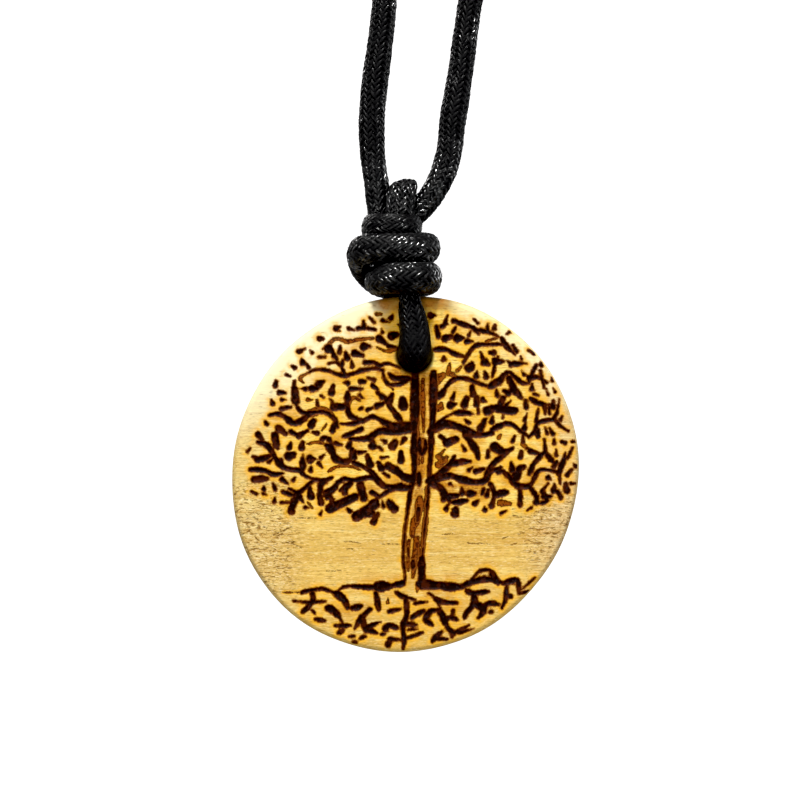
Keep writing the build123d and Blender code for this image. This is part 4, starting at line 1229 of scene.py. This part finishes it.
# The stage: a plain pale floor that curves up into a wall all round. The lamps' light passes through
# it, and it sheds none of its own glow on the pendant.
FLOOR_Z = -0.9
FLOOR_R = 1.3
WALL_R = 1.75
WALL_TOP = 1.5
COVE_STEPS = 10
STAGE_SIDES = 96
bpy.ops.mesh.primitive_circle_add(
    vertices=STAGE_SIDES, radius=FLOOR_R, fill_type="NGON", location=(0, 0, FLOOR_Z),
)
stage = bpy.context.object
stage.name = "stage"
bpy.ops.object.transform_apply(location=True)
bpy.ops.object.mode_set(mode="EDIT")
bpy.ops.mesh.select_all(action="SELECT")
bpy.ops.mesh.region_to_loop()
cove = WALL_R - FLOOR_R
radius = FLOOR_R
for step in range(1, COVE_STEPS + 1):
    angle = math.pi / 2 * step / COVE_STEPS
    wider = FLOOR_R + cove * math.sin(angle)
    higher = cove * (math.cos(angle - math.pi / 2 / COVE_STEPS) - math.cos(angle))
    bpy.ops.mesh.extrude_region_move(TRANSFORM_OT_translate={"value": (0, 0, higher)})
    share = wider / radius
    bpy.ops.transform.resize(value=(share, share, 1), center_override=(0, 0, 0))
    radius = wider
bpy.ops.mesh.extrude_region_move(TRANSFORM_OT_translate={"value": (0, 0, WALL_TOP - FLOOR_Z - cove)})
bpy.ops.mesh.select_all(action="SELECT")
bpy.ops.mesh.normals_make_consistent(inside=True)
bpy.ops.object.mode_set(mode="OBJECT")
bpy.ops.object.shade_smooth()
nodes = Nodes("pale_stage")
stage.data.materials.append(nodes.surface(
    Base_Color=(0.86, 0.86, 0.86), Roughness=0.9, Emission_Color=(1.0, 1.0, 1.0), Emission_Strength=0.85,
))
for kind_of_ray in ("visible_diffuse", "visible_glossy", "visible_transmission", "visible_shadow"):
    setattr(stage, kind_of_ray, False)

# The lamps: two small strong ones high in front, one of which only draws glints on the wax and the
# grooves' edges, and large soft ones that fill in round them.
TARGET = Vector((0.0, 0.0, -0.17))
for name, place, wide, power, colour in (
    ("glint", (-0.05, -0.36, 0.62), 0.05, 9.0, (1.0, 1.0, 1.0)),
    ("key", (-0.10, -0.38, 0.55), 0.08, 6.4, (1.0, 0.98, 0.95)),
    ("front", (-0.35, -0.95, -0.15), 0.45, 3.6, (1.0, 0.99, 0.97)),
    ("fill", (0.80, -0.6, -0.45), 0.5, 2.4, (0.97, 0.98, 1.0)),
    ("back_left", (-0.7, 0.8, 0.35), 0.3, 4.2, (1.0, 0.98, 0.96)),
    ("back_right", (0.8, 0.8, 0.1), 0.5, 3.0, (0.97, 0.98, 1.0)),
):
    light = bpy.data.lights.new(name, "AREA")
    light.size = wide
    light.energy = power
    light.color = colour
    lamp = bpy.data.objects.new(name, light)
    bpy.context.collection.objects.link(lamp)
    lamp.location = place
    lamp.rotation_euler = (TARGET - Vector(place)).to_track_quat("-Z", "Y").to_euler()
    lamp.visible_camera = False
    lamp.visible_diffuse = name != "glint"

# The world: a weak, even white light from all round. The picture is shown plainly, with only its
# darkest shades taken down to black.
WORLD_LIGHT = 0.30
DARKEST = 0.006  # what the picture shows as black
world = bpy.data.worlds.new("studio")
world.use_nodes = True
background = world.node_tree.nodes["Background"]
background.inputs["Color"].default_value = (1.0, 1.0, 1.0, 1.0)
background.inputs["Strength"].default_value = WORLD_LIGHT
bpy.context.scene.world = world
looks = bpy.context.scene.view_settings
looks.view_transform = "Standard"
looks.use_curve_mapping = True
looks.curve_mapping.black_level = (DARKEST,) * 3
looks.curve_mapping.update()
